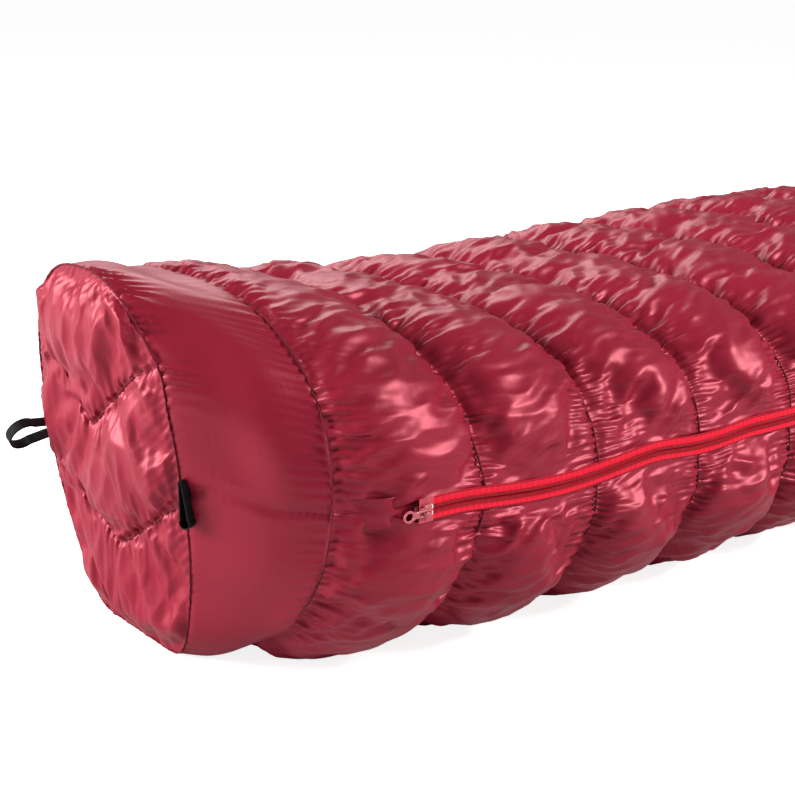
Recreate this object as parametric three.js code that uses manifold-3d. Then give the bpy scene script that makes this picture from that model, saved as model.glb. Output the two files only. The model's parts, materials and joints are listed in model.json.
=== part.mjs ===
// Family sleeping bag: a quilted tube with a three-dimensional foot box, elastic gathered seams,
// a two-way side zip and a cover that opens from the mouth.
// Millimetres, +Z up. +X runs from the foot to the mouth and -Y is the zip side.
import * as THREE from 'three';
import Module from 'manifold-3d';
import { mergeVertices } from 'three/addons/utils/BufferGeometryUtils.js';

// ---- driving dimensions -------------------------------------------------------------------
const SEAM_PITCH = 126;          // distance between two gathered seams
const CHAMBERS = 15;             // quilted chambers between the foot box and the mouth
const FIXED_CHAMBERS = 7;        // chambers whose cover stays down when the bag is opened
const BAG_LIFT = 6;              // height of a seam's lowest point above the ground

const FOOT_HALF_WIDTH = 210;     // half width at the first seam
const KNEE_GAIN = 37;            // half width gained from the first seam to the knees
const KNEE_LENGTH = 120;         // length over which most of that width is gained
const SIDE_FLARE = 0.018;        // further half width per millimetre towards the mouth
const FOOT_HALF_HEIGHT = 156;    // half height at the first seam
const KNEE_DROP = 26;            // half height lost from the first seam to the knees
const BACK_RISE = 0.01;          // half height regained per millimetre
const MOUTH_FALL = 0.03;         // half height lost per millimetre past the fixed chambers
const ROUNDNESS = 2.2;           // exponent of the cross-section's superellipse
const RING_LEAN = 0.06;          // how far a ring's top leans towards the mouth, per millimetre

const CHAMBER_LOFT = 14;         // how far a chamber's crest stands out from its seams
const CREST_START = 0.3;         // where a chamber reaches its full loft
const CREST_END = 0.7;           // where it starts to fall again
const SHELL_THICKNESS = 1.6;     // outer fabric with its backing
const INSULATION_OUTER = 3;      // depth of the filling's outer face below the seams
const INSULATION_INNER = 8;      // depth of the filling's inner face
const LINING_OUTER = 14.4;       // depth of the lining's outer face
const LINING_INNER = 16;         // depth of the lining's inner face
const PART_GAP = 1.5;            // room left on each side of a seam line
const COVER_GAP = 11;            // room the opening cover leaves past its first seam
const FAR_SIDE_GAP = 0.0005;     // turn left free on each side of the far side seam
const AROUND = 10;               // facets along the top half, and along the bottom half

const FACE_X = -50;              // foot panel at ground height
const FACE_LEAN = 0.133;         // how far the panel's top leans out over the foot end
const FACE_HALF_WIDTH = 112;     // panel's widest half width
const FACE_BOTTOM_TUCK = 38;     // half width lost at the bottom edge
const FACE_TUCK_HEIGHT = 138;    // height below which the panel narrows
const FACE_HALF_HEIGHT = 164;    // half of the panel's height
const FACE_TOP_ROUNDNESS = 2.4;  // exponent of the arched top
const FACE_BOTTOM_ROUNDNESS = 9; // exponent of the square bottom
const BAND_LOFT = 8;             // crown of the smooth band round the foot box
const BAND_START = 0.05;         // share of the band's length where its shell starts
const BAND_FILL_START = 0.42;    // where its filling starts, behind the foot panel's own
const BAND_FILL_OUTER = 5.5;     // depth of the band filling's outer and inner faces
const BAND_FILL_INNER = 9;
const BAND_END = 0.95;           // where both end, short of the first seam
const UNDERSIDE_SLIT = 0.002;    // turn left open where a ring closes under the foot box

const ZIP_HALF_WIDTH = 240;      // distance of the zip from the middle plane, at the first seam
const ZIP_FLARE = 0.0205;        // its outward slope
const ZIP_HEIGHT = 161;          // height of the zip at the first seam
const ZIP_FALL = 0.004;          // its downward slope
const ZIP_OPENING = 10;          // quilt edge to zip centre line
const ZIP_START = 59;            // foot end of the tapes
const TAPE_INNER = 0.7;          // zip centre line to tape edge
const TAPE_OUTER = 9.6;
const TAPE_THICKNESS = 1;
const COIL_WIDTH = 3.5;
const COIL_HEIGHT = 2.4;
const STOP_LENGTH = 4;
const SLIDER_LENGTH = 12;
const SLIDER_WIDTH = 10;
const FOOT_SLIDER_AT = 62;
const HEAD_SLIDER_AT = 1870;
const PULL_REACH = 17.5;         // pivot to the centre of the pull's finger hole

const LOOP_LENGTH = 38;
const LOOP_DEPTH = 20;
const WEBBING_WIDTH = 10;
const WEBBING_THICKNESS = 1.2;

const BAG_END = CHAMBERS * SEAM_PITCH;
const COVER_START = FIXED_CHAMBERS * SEAM_PITCH;

// ---- materials ----------------------------------------------------------------------------
const finish = (color, roughness, metalness = 0) => () =>
  new THREE.MeshStandardMaterial({ color, roughness, metalness });
const shellNylon = finish(0xa02a3c, 0.4);
const liningNylon = finish(0x8c2536, 0.5);
const polyesterFill = finish(0xe8e6e1, 0.9);
const zipTape = finish(0xd0202f, 0.7);
const zipCoil = finish(0xc01c2c, 0.4);
const sliderPaint = finish(0xc4505a, 0.35, 0.3);
const stopPlastic = finish(0xf2f0ee, 0.4);
const seamThread = finish(0x5e1220, 0.8);
const blackWebbing = finish(0x18181a, 0.8);

const bag = new THREE.Group();

function addPiece(name, geometry, material, parent = bag) {
  const mesh = new THREE.Mesh(geometry, material());
  mesh.name = name;
  parent.add(mesh);
  return mesh;
}

// Bends a unit block into a piece: place(u, v, w) gives the point for each of its grid points.
function bendBlock(segmentsU, segmentsV, place, segmentsW = 1) {
  const block = new THREE.BoxGeometry(1, 1, 1, segmentsU, segmentsV, segmentsW);
  block.deleteAttribute('normal');
  block.deleteAttribute('uv');
  const solid = mergeVertices(block, 1e-4);
  matchDiagonals(solid);
  const position = solid.getAttribute('position');
  for (let i = 0; i < position.count; i += 1) {
    const point = place(position.getX(i) + 0.5, position.getY(i) + 0.5, position.getZ(i) + 0.5);
    position.setXYZ(i, point.x, point.y, point.z);
  }
  return facedOutwards(solid);
}

// Cuts the block's w = 1 side along the same diagonals as its w = 0 side, so that a twisted
// wall keeps its thickness.
function matchDiagonals(block) {
  const position = block.getAttribute('position');
  const index = block.getIndex();
  for (let i = 0; i < index.count; i += 6) {
    const a = index.getX(i);
    const b = index.getX(i + 1);
    const c = index.getX(i + 4);
    const d = index.getX(i + 2);
    if (Math.min(...[a, b, c, d].map((corner) => position.getZ(corner))) > 0.49) {
      [a, b, c, a, c, d].forEach((corner, k) => index.setX(i + k, corner));
    }
  }
}

function facedOutwards(geometry) {
  const position = geometry.getAttribute('position');
  const index = geometry.getIndex();
  const corners = [new THREE.Vector3(), new THREE.Vector3(), new THREE.Vector3()];
  let volume = 0;
  for (let i = 0; i < index.count; i += 3) {
    corners.forEach((corner, k) => corner.fromBufferAttribute(position, index.getX(i + k)));
    volume += corners[0].dot(corners[1].clone().cross(corners[2]));
  }
  if (volume < 0) {
    for (let i = 0; i < index.count; i += 3) {
      const first = index.getX(i);
      index.setX(i, index.getX(i + 2));
      index.setX(i + 2, first);
    }
  }
  return geometry;
}

// ---- the bag's form -----------------------------------------------------------------------
// A rounded square of half size 1: 2 is a circle, and a higher exponent squares its corners.
function roundedSquare(turn, exponent) {
  const angle = turn * 2 * Math.PI;
  const cosine = Math.cos(angle);
  const sine = Math.sin(angle);
  const radius = (Math.abs(cosine) ** exponent + Math.abs(sine) ** exponent) ** (-1 / exponent);
  return new THREE.Vector2(radius * cosine, radius * sine);
}

const kneeBlend = (s) => 1 - Math.exp(-s / KNEE_LENGTH);
const halfWidth = (s) => FOOT_HALF_WIDTH + KNEE_GAIN * kneeBlend(s) + SIDE_FLARE * s;
const halfHeight = (s) => FOOT_HALF_HEIGHT - KNEE_DROP * kneeBlend(s) + BACK_RISE * s
  - MOUTH_FALL * Math.max(0, s - COVER_START);
const middleHeight = (s) => halfHeight(s) + BAG_LIFT;
const zipHeight = (s) => ZIP_HEIGHT - ZIP_FALL * s;

// How far the outer fabric stands out at station s, 0 at a seam and 1 at a crest.
function crest(s) {
  const u = (s / SEAM_PITCH) % 1;
  return Math.min(1, u / CREST_START, (1 - u) / (1 - CREST_END));
}

// Turn round the bag: 0 at the zip side, a quarter at the top, a half at the far side.
function quiltPoint(s, turn, depth, floor = 0) {
  const unit = roundedSquare(turn, ROUNDNESS);
  const rise = (halfHeight(s) - depth) * unit.y;
  const y = -(halfWidth(s) - depth) * unit.x;
  const z = Math.max(floor, middleHeight(s) + rise);
  return new THREE.Vector3(s + RING_LEAN * rise, y, z);
}

// The turn at which a layer of the quilt reaches a given height above or below the zip.
function turnAtZip(s, offset, depth) {
  const ratio = (zipHeight(s) + offset - middleHeight(s)) / (halfHeight(s) - depth);
  const across = (1 - Math.abs(ratio) ** ROUNDNESS) ** (1 / ROUNDNESS);
  return Math.atan2(ratio, across) / (2 * Math.PI);
}

function upperTurn(s, u, depth) {
  return THREE.MathUtils.lerp(turnAtZip(s, ZIP_OPENING, depth), 0.5 - FAR_SIDE_GAP, u);
}

function lowerTurn(s, u, depth) {
  return THREE.MathUtils.lerp(0.5 + FAR_SIDE_GAP, 1 + turnAtZip(s, -ZIP_OPENING, depth), u);
}

function roundTurn(s, u, depth) {
  return u < 0.5 ? upperTurn(s, 2 * u, depth) : lowerTurn(s, 2 * u - 1, depth);
}

const startGap = (chamber) => (chamber === FIXED_CHAMBERS ? COVER_GAP : PART_GAP);

// A stretch of quilted fabric from chamber to chamber, with rows on its seams and crests.
function quiltedShell(firstChamber, lastChamber, turnOf) {
  const chambers = lastChamber - firstChamber;
  const rows = chambers * 3;
  const marks = [0, CREST_START, CREST_END];
  return bendBlock(AROUND, rows, (u, v, w) => {
    const row = Math.round(v * rows);
    let s = (firstChamber + Math.floor(row / 3) + marks[row % 3]) * SEAM_PITCH;
    const loft = CHAMBER_LOFT * crest(s);
    if (row === 0) s += startGap(firstChamber);
    if (row === rows) s -= PART_GAP;
    const inside = w > 0.5;
    const depth = (inside ? SHELL_THICKNESS : 0) - loft;
    return quiltPoint(s, turnOf(s, u, depth), depth, inside ? SHELL_THICKNESS : 0);
  });
}

function quiltLayer(firstChamber, lastChamber, turnOf, outer, inner) {
  const rows = lastChamber - firstChamber;
  return bendBlock(AROUND, rows, (u, v, w) => {
    let s = (firstChamber + v * rows) * SEAM_PITCH;
    if (v < 1e-6) s += startGap(firstChamber);
    if (v > 1 - 1e-6) s -= PART_GAP;
    const depth = THREE.MathUtils.lerp(outer, inner, w);
    return quiltPoint(s, turnOf(s, u, depth), depth);
  });
}

function addQuilt(prefix, first, last, turnOf) {
  addPiece(`${prefix}_shell`, quiltedShell(first, last, turnOf), shellNylon);
  addPiece(`${prefix}_insulation`,
    quiltLayer(first, last, turnOf, INSULATION_OUTER, INSULATION_INNER), polyesterFill);
  addPiece(`${prefix}_lining`,
    quiltLayer(first, last, turnOf, LINING_OUTER, LINING_INNER), liningNylon);
}

addQuilt('upper_foot_quilt', 0, FIXED_CHAMBERS, upperTurn);
addQuilt('cover_quilt', FIXED_CHAMBERS, CHAMBERS, upperTurn);
addQuilt('lower_quilt', 0, CHAMBERS, lowerTurn);

// ---- elastic seams ------------------------------------------------------------------------
const ELASTIC_INNER = -1;
const ELASTIC_OUTER = -3.2;
const ELASTIC_HALF_WIDTH = 1.3;

function elastic(s, turnOf, segments) {
  return bendBlock(segments, 1, (u, v, w) => {
    const station = s + (v - 0.5) * 2 * ELASTIC_HALF_WIDTH;
    const depth = THREE.MathUtils.lerp(ELASTIC_OUTER, ELASTIC_INNER, w);
    return quiltPoint(station, turnOf(s, u, depth), depth);
  });
}

for (let seam = 1; seam <= CHAMBERS; seam += 1) {
  const s = (seam - 1) * SEAM_PITCH;
  const number = String(seam).padStart(2, '0');
  if (seam <= FIXED_CHAMBERS + 1) {
    addPiece(`elastic_seam_${number}`, elastic(s, roundTurn, 2 * AROUND), seamThread);
  } else {
    addPiece(`cover_elastic_seam_${number}`, elastic(s, upperTurn, AROUND), seamThread);
    addPiece(`lower_elastic_seam_${number}`, elastic(s, lowerTurn, AROUND), seamThread);
  }
}

// ---- mouth binding ------------------------------------------------------------------------
const BINDING_LENGTH = 14;

function binding(turnOf) {
  return bendBlock(AROUND, 1, (u, v, w) => {
    const s = BAG_END + v * BINDING_LENGTH;
    const depth = THREE.MathUtils.lerp(-2, LINING_INNER + 1, w);
    return quiltPoint(s, turnOf(s, u, depth), depth);
  });
}

addPiece('cover_mouth_binding', binding(upperTurn), liningNylon);
addPiece('lower_mouth_binding', binding(lowerTurn), liningNylon);

// ---- foot box -----------------------------------------------------------------------------
const faceX = (z) => FACE_X - FACE_LEAN * z;

// The foot panel's outline, square at the bottom and arched at the top.
function faceOutline(turn, depth) {
  const above = Math.sin(turn * 2 * Math.PI) > 0;
  const unit = roundedSquare(turn, above ? FACE_TOP_ROUNDNESS : FACE_BOTTOM_ROUNDNESS);
  const z = FACE_HALF_HEIGHT + (FACE_HALF_HEIGHT - depth) * unit.y;
  const tuck = FACE_BOTTOM_TUCK * Math.max(0, 1 - z / FACE_TUCK_HEIGHT) ** 1.5;
  const y = -(FACE_HALF_WIDTH - tuck - depth) * unit.x;
  return new THREE.Vector2(y, z);
}

// A point of the band between the foot panel (along = 0) and the first seam (along = 1).
function bandPoint(turn, along, depth, floor = 0) {
  const crown = BAND_LOFT * Math.sin(Math.PI * along);
  const face = faceOutline(turn, depth - crown);
  const ring = quiltPoint(0, turn, depth - crown, floor);
  const start = new THREE.Vector3(faceX(face.y), face.x, face.y);
  const point = start.lerp(ring, along);
  point.z = Math.max(floor, point.z);
  return point;
}

function bandShell(turnStart, turnEnd) {
  return bendBlock(AROUND, 3, (u, v, w) => {
    const turn = THREE.MathUtils.lerp(turnStart, turnEnd, u);
    const along = THREE.MathUtils.lerp(BAND_START, BAND_END, v);
    return bandPoint(turn, along, w * SHELL_THICKNESS, w * SHELL_THICKNESS);
  });
}

// A closed ring inside the band: a block bent right round, cut open along its underside.
function bandLayer(outer, inner) {
  return bendBlock(2 * AROUND, 2, (u, v, w) => {
    const turn = THREE.MathUtils.lerp(-0.25 + UNDERSIDE_SLIT, 0.75 - UNDERSIDE_SLIT, u);
    const along = THREE.MathUtils.lerp(BAND_FILL_START, BAND_END, v);
    const depth = THREE.MathUtils.lerp(outer, inner, w);
    return bandPoint(turn, along, depth, BAG_LIFT + depth);
  });
}

function extruded(outline, depth, curveSegments = 8) {
  return new THREE.ExtrudeGeometry(outline, { depth, bevelEnabled: false, curveSegments });
}

// A plate of the foot panel, between two distances in front of the panel's seam plane.
function facePlate(depth, front, back) {
  const corners = 2 * AROUND;
  const outline = [];
  for (let i = 0; i < corners; i += 1) {
    outline.push(faceOutline(i / corners, depth));
  }
  const plate = extruded(new THREE.Shape(outline), front - back);
  plate.deleteAttribute('normal');
  plate.deleteAttribute('uv');
  const solid = mergeVertices(plate, 1e-4);
  const position = solid.getAttribute('position');
  for (let i = 0; i < position.count; i += 1) {
    const y = position.getX(i);
    const z = position.getY(i);
    position.setXYZ(i, faceX(z) - back - position.getZ(i), y, z);
  }
  return facedOutwards(solid);
}

const PIPING_HALF = 1.6;

// The corded seam round the panel, cut open at the bottom.
function facePiping() {
  return bendBlock(2 * AROUND, 1, (u, v, w) => {
    const turn = THREE.MathUtils.lerp(-0.25 + UNDERSIDE_SLIT, 0.75 - UNDERSIDE_SLIT, u);
    const outline = faceOutline(turn, 2 * PIPING_HALF * w);
    const along = (v - 0.5) * 2 * PIPING_HALF;
    return new THREE.Vector3(faceX(outline.y) + along, outline.x, outline.y);
  });
}

addPiece('foot_panel_shell', facePlate(5, 4, 2), shellNylon);
addPiece('foot_panel_insulation', facePlate(5, 1.4, -11), polyesterFill);
addPiece('foot_panel_lining', facePlate(5, -11.6, -13.2), liningNylon);
addPiece('foot_panel_piping', facePiping(), seamThread);
addPiece('foot_band_upper_shell', bandShell(0.001, 0.499), shellNylon);
addPiece('foot_band_lower_shell', bandShell(0.501, 0.999), shellNylon);
addPiece('foot_band_insulation', bandLayer(BAND_FILL_OUTER, BAND_FILL_INNER), polyesterFill);
addPiece('foot_band_lining', bandLayer(LINING_OUTER, LINING_INNER), liningNylon);

const GARAGE_END = ZIP_START - 6;
const GARAGE_HALF = ZIP_OPENING - 0.6;
const GARAGE_THICKNESS = 3;
const GARAGE_LOFT = 0.8 * CHAMBER_LOFT;

// The fabric pocket between the first seam and the foot end of the zip.
function zipGarage() {
  return bendBlock(1, 2, (u, v, w) => {
    const s = THREE.MathUtils.lerp(PART_GAP, GARAGE_END, v);
    const depth = GARAGE_THICKNESS * w - GARAGE_LOFT * crest(s);
    const offset = THREE.MathUtils.lerp(GARAGE_HALF, -GARAGE_HALF, u);
    return quiltPoint(s, turnAtZip(s, offset, depth), depth);
  });
}

addPiece('zip_garage', zipGarage(), shellNylon);

// ---- zip ----------------------------------------------------------------------------------
// The zip's own frame: x along it towards the mouth, z across the chain, -y outwards.
const zip = new THREE.Group();
const zipDirection = new THREE.Vector3(1, -ZIP_FLARE, -ZIP_FALL).normalize();
zip.position.set(0, -ZIP_HALF_WIDTH, ZIP_HEIGHT);
zip.quaternion.setFromUnitVectors(new THREE.Vector3(1, 0, 0), zipDirection);
bag.add(zip);

function box(from, to) {
  const size = to.clone().sub(from);
  const block = new THREE.BoxGeometry(size.x, size.y, size.z);
  const middle = from.clone().add(to).multiplyScalar(0.5);
  block.translate(middle.x, middle.y, middle.z);
  return block;
}

const v3 = (x, y, z) => new THREE.Vector3(x, y, z);

function strip(start, end, side, near, far, front, back) {
  const low = Math.min(side * near, side * far);
  const high = Math.max(side * near, side * far);
  return box(v3(start, front, low), v3(end, back, high));
}

const TAPE_FRONT = -TAPE_THICKNESS / 2;
const TAPE_BACK = TAPE_THICKNESS / 2;
const CHAIN_START = ZIP_START + 12;
const COIL_BACK = TAPE_FRONT - 0.3;
const COIL_FRONT = COIL_BACK - COIL_HEIGHT;
const COIL_FAR = TAPE_INNER + COIL_WIDTH;
const ZIP_END = BAG_END - 4;

const zipStretches = [
  ['upper_foot', 1, ZIP_START, COVER_START - PART_GAP],
  ['cover', 1, COVER_START + COVER_GAP, ZIP_END],
  ['lower', -1, ZIP_START, ZIP_END],
];
for (const [prefix, side, start, end] of zipStretches) {
  const chainStart = start === ZIP_START ? CHAIN_START : start;
  addPiece(`${prefix}_zip_tape`,
    strip(start, end, side, TAPE_INNER, TAPE_OUTER, TAPE_FRONT, TAPE_BACK), zipTape, zip);
  addPiece(`${prefix}_zip_coil`,
    strip(chainStart, end, side, TAPE_INNER, COIL_FAR, COIL_FRONT, COIL_BACK), zipCoil, zip);
}
for (const [prefix, side] of [['upper', 1], ['lower', -1]]) {
  const start = CHAIN_START - STOP_LENGTH - 0.5;
  addPiece(`${prefix}_zip_end_stop`, strip(start, start + STOP_LENGTH, side, TAPE_INNER,
    COIL_FAR, COIL_FRONT, COIL_BACK), stopPlastic, zip);
}

// Sliders: two plates joined by a web that runs in the groove, with an arched bridge for the pull.
const PLATE = 1.5;
const SLIDER_CLEARANCE = 0.4;
const OUTER_PLATE_BACK = COIL_FRONT - SLIDER_CLEARANCE;
const OUTER_PLATE_FRONT = OUTER_PLATE_BACK - PLATE;
const INNER_PLATE_FRONT = TAPE_BACK + SLIDER_CLEARANCE;
const WEB_HALF = 0.35;
const BRIDGE_LEG_INNER = 2;
const BRIDGE_LEG_OUTER = 3.2;
const BRIDGE_ROOM = 2.6;
const BRIDGE_BEAM = 1.2;
const BRIDGE_HALF = 0.8;
const PIVOT_Y = OUTER_PLATE_FRONT - BRIDGE_ROOM / 2;

const OVERLAP = 0.2;
const NOSE_SHARE = 0.64;

const wasm = await Module();
wasm.setup();

// Two plates with a narrowed nose, joined by a web in the groove, under an arched bridge.
function sliderBody() {
  const solid = (geometry) => {
    geometry.deleteAttribute('normal');
    geometry.deleteAttribute('uv');
    const merged = mergeVertices(geometry, 1e-4);
    return new wasm.Manifold(new wasm.Mesh({
      numProp: 3,
      vertProperties: Float32Array.from(merged.getAttribute('position').array),
      triVerts: Uint32Array.from(merged.getIndex().array),
    }));
  };
  const half = SLIDER_LENGTH / 2;
  const plate = (front, back, width) => {
    const nose = (NOSE_SHARE * width) / 2;
    const outline = new THREE.Shape();
    outline.moveTo(-half, -nose);
    outline.lineTo(0, -width / 2);
    outline.lineTo(half, -width / 2);
    outline.lineTo(half, width / 2);
    outline.lineTo(0, width / 2);
    outline.lineTo(-half, nose);
    const slab = extruded(outline, back - front);
    slab.rotateX(Math.PI / 2);
    slab.translate(0, back, 0);
    return solid(slab);
  };
  const beamFront = OUTER_PLATE_FRONT - BRIDGE_ROOM - BRIDGE_BEAM;
  const arch = solid(box(v3(-BRIDGE_LEG_OUTER, beamFront, -BRIDGE_HALF),
    v3(BRIDGE_LEG_OUTER, OUTER_PLATE_FRONT + OVERLAP, BRIDGE_HALF)));
  const window = solid(box(v3(-BRIDGE_LEG_INNER, beamFront + BRIDGE_BEAM, -BRIDGE_HALF - 1),
    v3(BRIDGE_LEG_INNER, OUTER_PLATE_FRONT, BRIDGE_HALF + 1)));
  const web = solid(box(v3(-half + 1, OUTER_PLATE_BACK - OVERLAP, -WEB_HALF),
    v3(half - 6, INNER_PLATE_FRONT + OVERLAP, WEB_HALF)));
  const whole = plate(OUTER_PLATE_FRONT, OUTER_PLATE_BACK, SLIDER_WIDTH)
    .add(plate(INNER_PLATE_FRONT, INNER_PLATE_FRONT + PLATE, SLIDER_WIDTH))
    .add(arch.subtract(window))
    .add(web);
  const mesh = whole.getMesh();
  const corners = Float32Array.from(mesh.vertProperties);
  const triangles = Uint32Array.from(mesh.triVerts);
  const geometry = new THREE.BufferGeometry();
  geometry.setAttribute('position', new THREE.BufferAttribute(corners, 3));
  geometry.setIndex(new THREE.BufferAttribute(triangles, 1));
  return geometry;
}

const PULL_THICKNESS = 1.5;
const PULL_NECK_HALF = 2.9;
const PULL_WINDOW_HALF = 1.4;
const PULL_WINDOW_END = 8;
const PULL_HEAD_RADIUS = 4.8;
const PULL_HOLE_RADIUS = 3.3;
const PULL_SHOULDER = PULL_REACH - PULL_HEAD_RADIUS - 3;
const PULL_HEAD_ANGLE = 0.9;

// The pull: a tapered plate with a window round the bridge and a finger hole at its free end.
function pullPlate() {
  const bar = PULL_THICKNESS / 2;
  const outline = new THREE.Shape();
  outline.moveTo(bar, -PULL_NECK_HALF);
  outline.lineTo(bar, PULL_NECK_HALF);
  outline.lineTo(-PULL_SHOULDER, PULL_NECK_HALF);
  const headEnd = 2 * Math.PI - PULL_HEAD_ANGLE;
  outline.absarc(-PULL_REACH, 0, PULL_HEAD_RADIUS, PULL_HEAD_ANGLE, headEnd, false);
  outline.lineTo(-PULL_SHOULDER, -PULL_NECK_HALF);
  const window = new THREE.Path();
  window.moveTo(-bar, -PULL_WINDOW_HALF);
  window.lineTo(-PULL_WINDOW_END, -PULL_WINDOW_HALF);
  window.lineTo(-PULL_WINDOW_END, PULL_WINDOW_HALF);
  window.lineTo(-bar, PULL_WINDOW_HALF);
  const fingerHole = new THREE.Path();
  fingerHole.absarc(-PULL_REACH, 0, PULL_HOLE_RADIUS, 0, 2 * Math.PI, true);
  outline.holes.push(window, fingerHole);
  const plate = extruded(outline, PULL_THICKNESS, 7);
  plate.translate(0, 0, -PULL_THICKNESS / 2);
  plate.rotateX(Math.PI / 2);
  return plate;
}

const sliderGeometry = sliderBody();
for (const [prefix, at] of [['foot', FOOT_SLIDER_AT], ['head', HEAD_SLIDER_AT]]) {
  const slider = addPiece(`${prefix}_slider_body`, sliderGeometry.clone(), sliderPaint, zip);
  slider.position.x = at;
  const pull = addPiece(`${prefix}_slider_pull`, pullPlate(), sliderPaint, zip);
  pull.position.set(at, PIVOT_Y, 0);
}

const TUBE_RADIUS = 7.5;
const TUBE_START = ZIP_START + 16;
const TUBE_Y = INNER_PLATE_FRONT + PLATE + 1 + TUBE_RADIUS;

// The padded draught tube that lies behind the zip.
function addDraughtTube(name, start, end) {
  const tube = new THREE.CylinderGeometry(TUBE_RADIUS, TUBE_RADIUS, end - start, 8);
  tube.rotateZ(Math.PI / 2);
  tube.translate((start + end) / 2, TUBE_Y, 0);
  addPiece(name, tube, liningNylon, zip);
}

addDraughtTube('foot_draught_tube', TUBE_START, COVER_START - PART_GAP);
addDraughtTube('cover_draught_tube', COVER_START + COVER_GAP, ZIP_END);

// ---- hanging loops ------------------------------------------------------------------------
const LOOP_ROOT = 6;             // length over which the two ends lie together
const LOOP_ROOT_HALF = WEBBING_THICKNESS + 0.4;
const LOOP_EYE_START = 9;
const LOOP_ANGLE = 1.1;          // where the eye's arc starts, from the loop's axis

// A teardrop of webbing that starts at the origin and runs along -X.
function hangingLoop() {
  const radius = LOOP_DEPTH / 2;
  const reach = LOOP_LENGTH - radius;
  const arcEnd = 2 * Math.PI - LOOP_ANGLE;
  const outer = new THREE.Shape();
  outer.moveTo(0, -LOOP_ROOT_HALF);
  outer.lineTo(0, LOOP_ROOT_HALF);
  outer.lineTo(-LOOP_ROOT, LOOP_ROOT_HALF);
  outer.absarc(-reach, 0, radius, LOOP_ANGLE, arcEnd, false);
  outer.lineTo(-LOOP_ROOT, -LOOP_ROOT_HALF);
  const inner = new THREE.Path();
  inner.moveTo(-LOOP_EYE_START, 0);
  inner.absarc(-reach, 0, radius - WEBBING_THICKNESS, arcEnd, LOOP_ANGLE, true);
  outer.holes.push(inner);
  const loop = extruded(outer, WEBBING_WIDTH);
  loop.rotateX(Math.PI / 2);
  return loop;
}

const LOOP_GAP = 5;
const loopX = faceX(FACE_HALF_HEIGHT) - LOOP_GAP;
const farLoop = addPiece('far_hanging_loop', hangingLoop(), blackWebbing);
farLoop.position.set(loopX, FACE_HALF_WIDTH - 1, FACE_HALF_HEIGHT - 3);
const nearLoop = addPiece('near_hanging_loop', hangingLoop(), blackWebbing);
nearLoop.position.set(loopX - 6, -FACE_HALF_WIDTH - 4 + WEBBING_WIDTH, FACE_HALF_HEIGHT);
nearLoop.rotation.y = -Math.PI / 2;

// The origin is at the middle of the underside.
const bounds = new THREE.Box3().setFromObject(bag);
const centre = bounds.getCenter(new THREE.Vector3());
bag.position.set(-centre.x, -centre.y, -bounds.min.z);
bag.updateMatrixWorld(true);

export default bag;
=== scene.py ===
# %% [markdown]
# # A quilted sleeping bag, piece by piece
# The bag is a tube of padded cross chambers with a boxed foot, a side zip and a cover that lifts.
# The rigid frame of the model is loaded first. Every soft piece is then made around it, in metres.

# %% Load the frame
import json
import math
import bmesh
import bpy
import numpy as np
from mathutils import Matrix, Vector


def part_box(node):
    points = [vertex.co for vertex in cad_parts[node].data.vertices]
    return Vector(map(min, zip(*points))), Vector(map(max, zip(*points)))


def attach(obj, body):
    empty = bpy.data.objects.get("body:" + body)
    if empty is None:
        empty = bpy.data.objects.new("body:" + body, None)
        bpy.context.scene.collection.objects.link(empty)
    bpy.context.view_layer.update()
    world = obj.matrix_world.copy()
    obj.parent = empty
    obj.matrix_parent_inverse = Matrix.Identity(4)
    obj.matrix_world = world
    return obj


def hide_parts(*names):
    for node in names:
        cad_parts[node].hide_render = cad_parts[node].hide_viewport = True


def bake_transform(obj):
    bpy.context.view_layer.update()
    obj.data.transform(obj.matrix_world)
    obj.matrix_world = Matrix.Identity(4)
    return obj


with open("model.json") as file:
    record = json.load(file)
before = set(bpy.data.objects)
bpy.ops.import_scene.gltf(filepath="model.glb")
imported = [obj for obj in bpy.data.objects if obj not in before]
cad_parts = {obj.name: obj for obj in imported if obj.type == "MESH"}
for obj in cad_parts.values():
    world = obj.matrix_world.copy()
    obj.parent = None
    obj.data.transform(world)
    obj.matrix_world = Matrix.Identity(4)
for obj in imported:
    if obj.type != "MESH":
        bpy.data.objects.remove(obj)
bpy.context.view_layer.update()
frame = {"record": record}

MM = 0.001
joints = {joint["name"]: joint for joint in frame["record"]["behaviour"]["joints"]}

# %% [markdown]
# ## The bag's form
# A cross-section is a rounded square between a circle and a box. Its width and height change from
# the foot to the mouth by a few smooth laws, the same ones that the frame was drawn with.

# %% Driving dimensions
SEAM_PITCH = 126 * MM
CHAMBERS = 15
BAG_LIFT = 6 * MM
ROUNDNESS = 2.2
RING_LEAN = 0.06
CHAMBER_LOFT = 17 * MM
ZIP_HALF_WIDTH = 240 * MM
ZIP_HEIGHT = 161 * MM
ZIP_START = 59 * MM
FOOT_SLIDER_AT = 62 * MM
HEAD_SLIDER_AT = 1870 * MM
COVER_START = 7 * SEAM_PITCH
BAG_END = CHAMBERS * SEAM_PITCH

slider_low, slider_high = (Vector(corner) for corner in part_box("foot_slider_body"))
panel_low, panel_high = (Vector(corner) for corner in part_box("foot_panel_shell"))
ZIP_ALONG = Vector(joints["foot_slider_travel"]["axis"]).normalized()
SEAM_ONE_X = (slider_low.x + slider_high.x) / 2 - FOOT_SLIDER_AT * ZIP_ALONG.x
MIDDLE_Y = (panel_low.y + panel_high.y) / 2
print("first seam at x =", round(SEAM_ONE_X, 4), "and middle plane at y =", round(MIDDLE_Y, 4))

# %% [markdown]
# ### Section laws
# A sewn tube has no sudden change of girth, so each measure is one smooth function of s, the
# distance from the first cross seam. Outlines could be lofted instead, but a law answers for any
# point of the fabric at any depth, and the inner layers need that.

# %% Section laws
def knee_blend(s):
    return 1 - np.exp(-s / (120 * MM))


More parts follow.
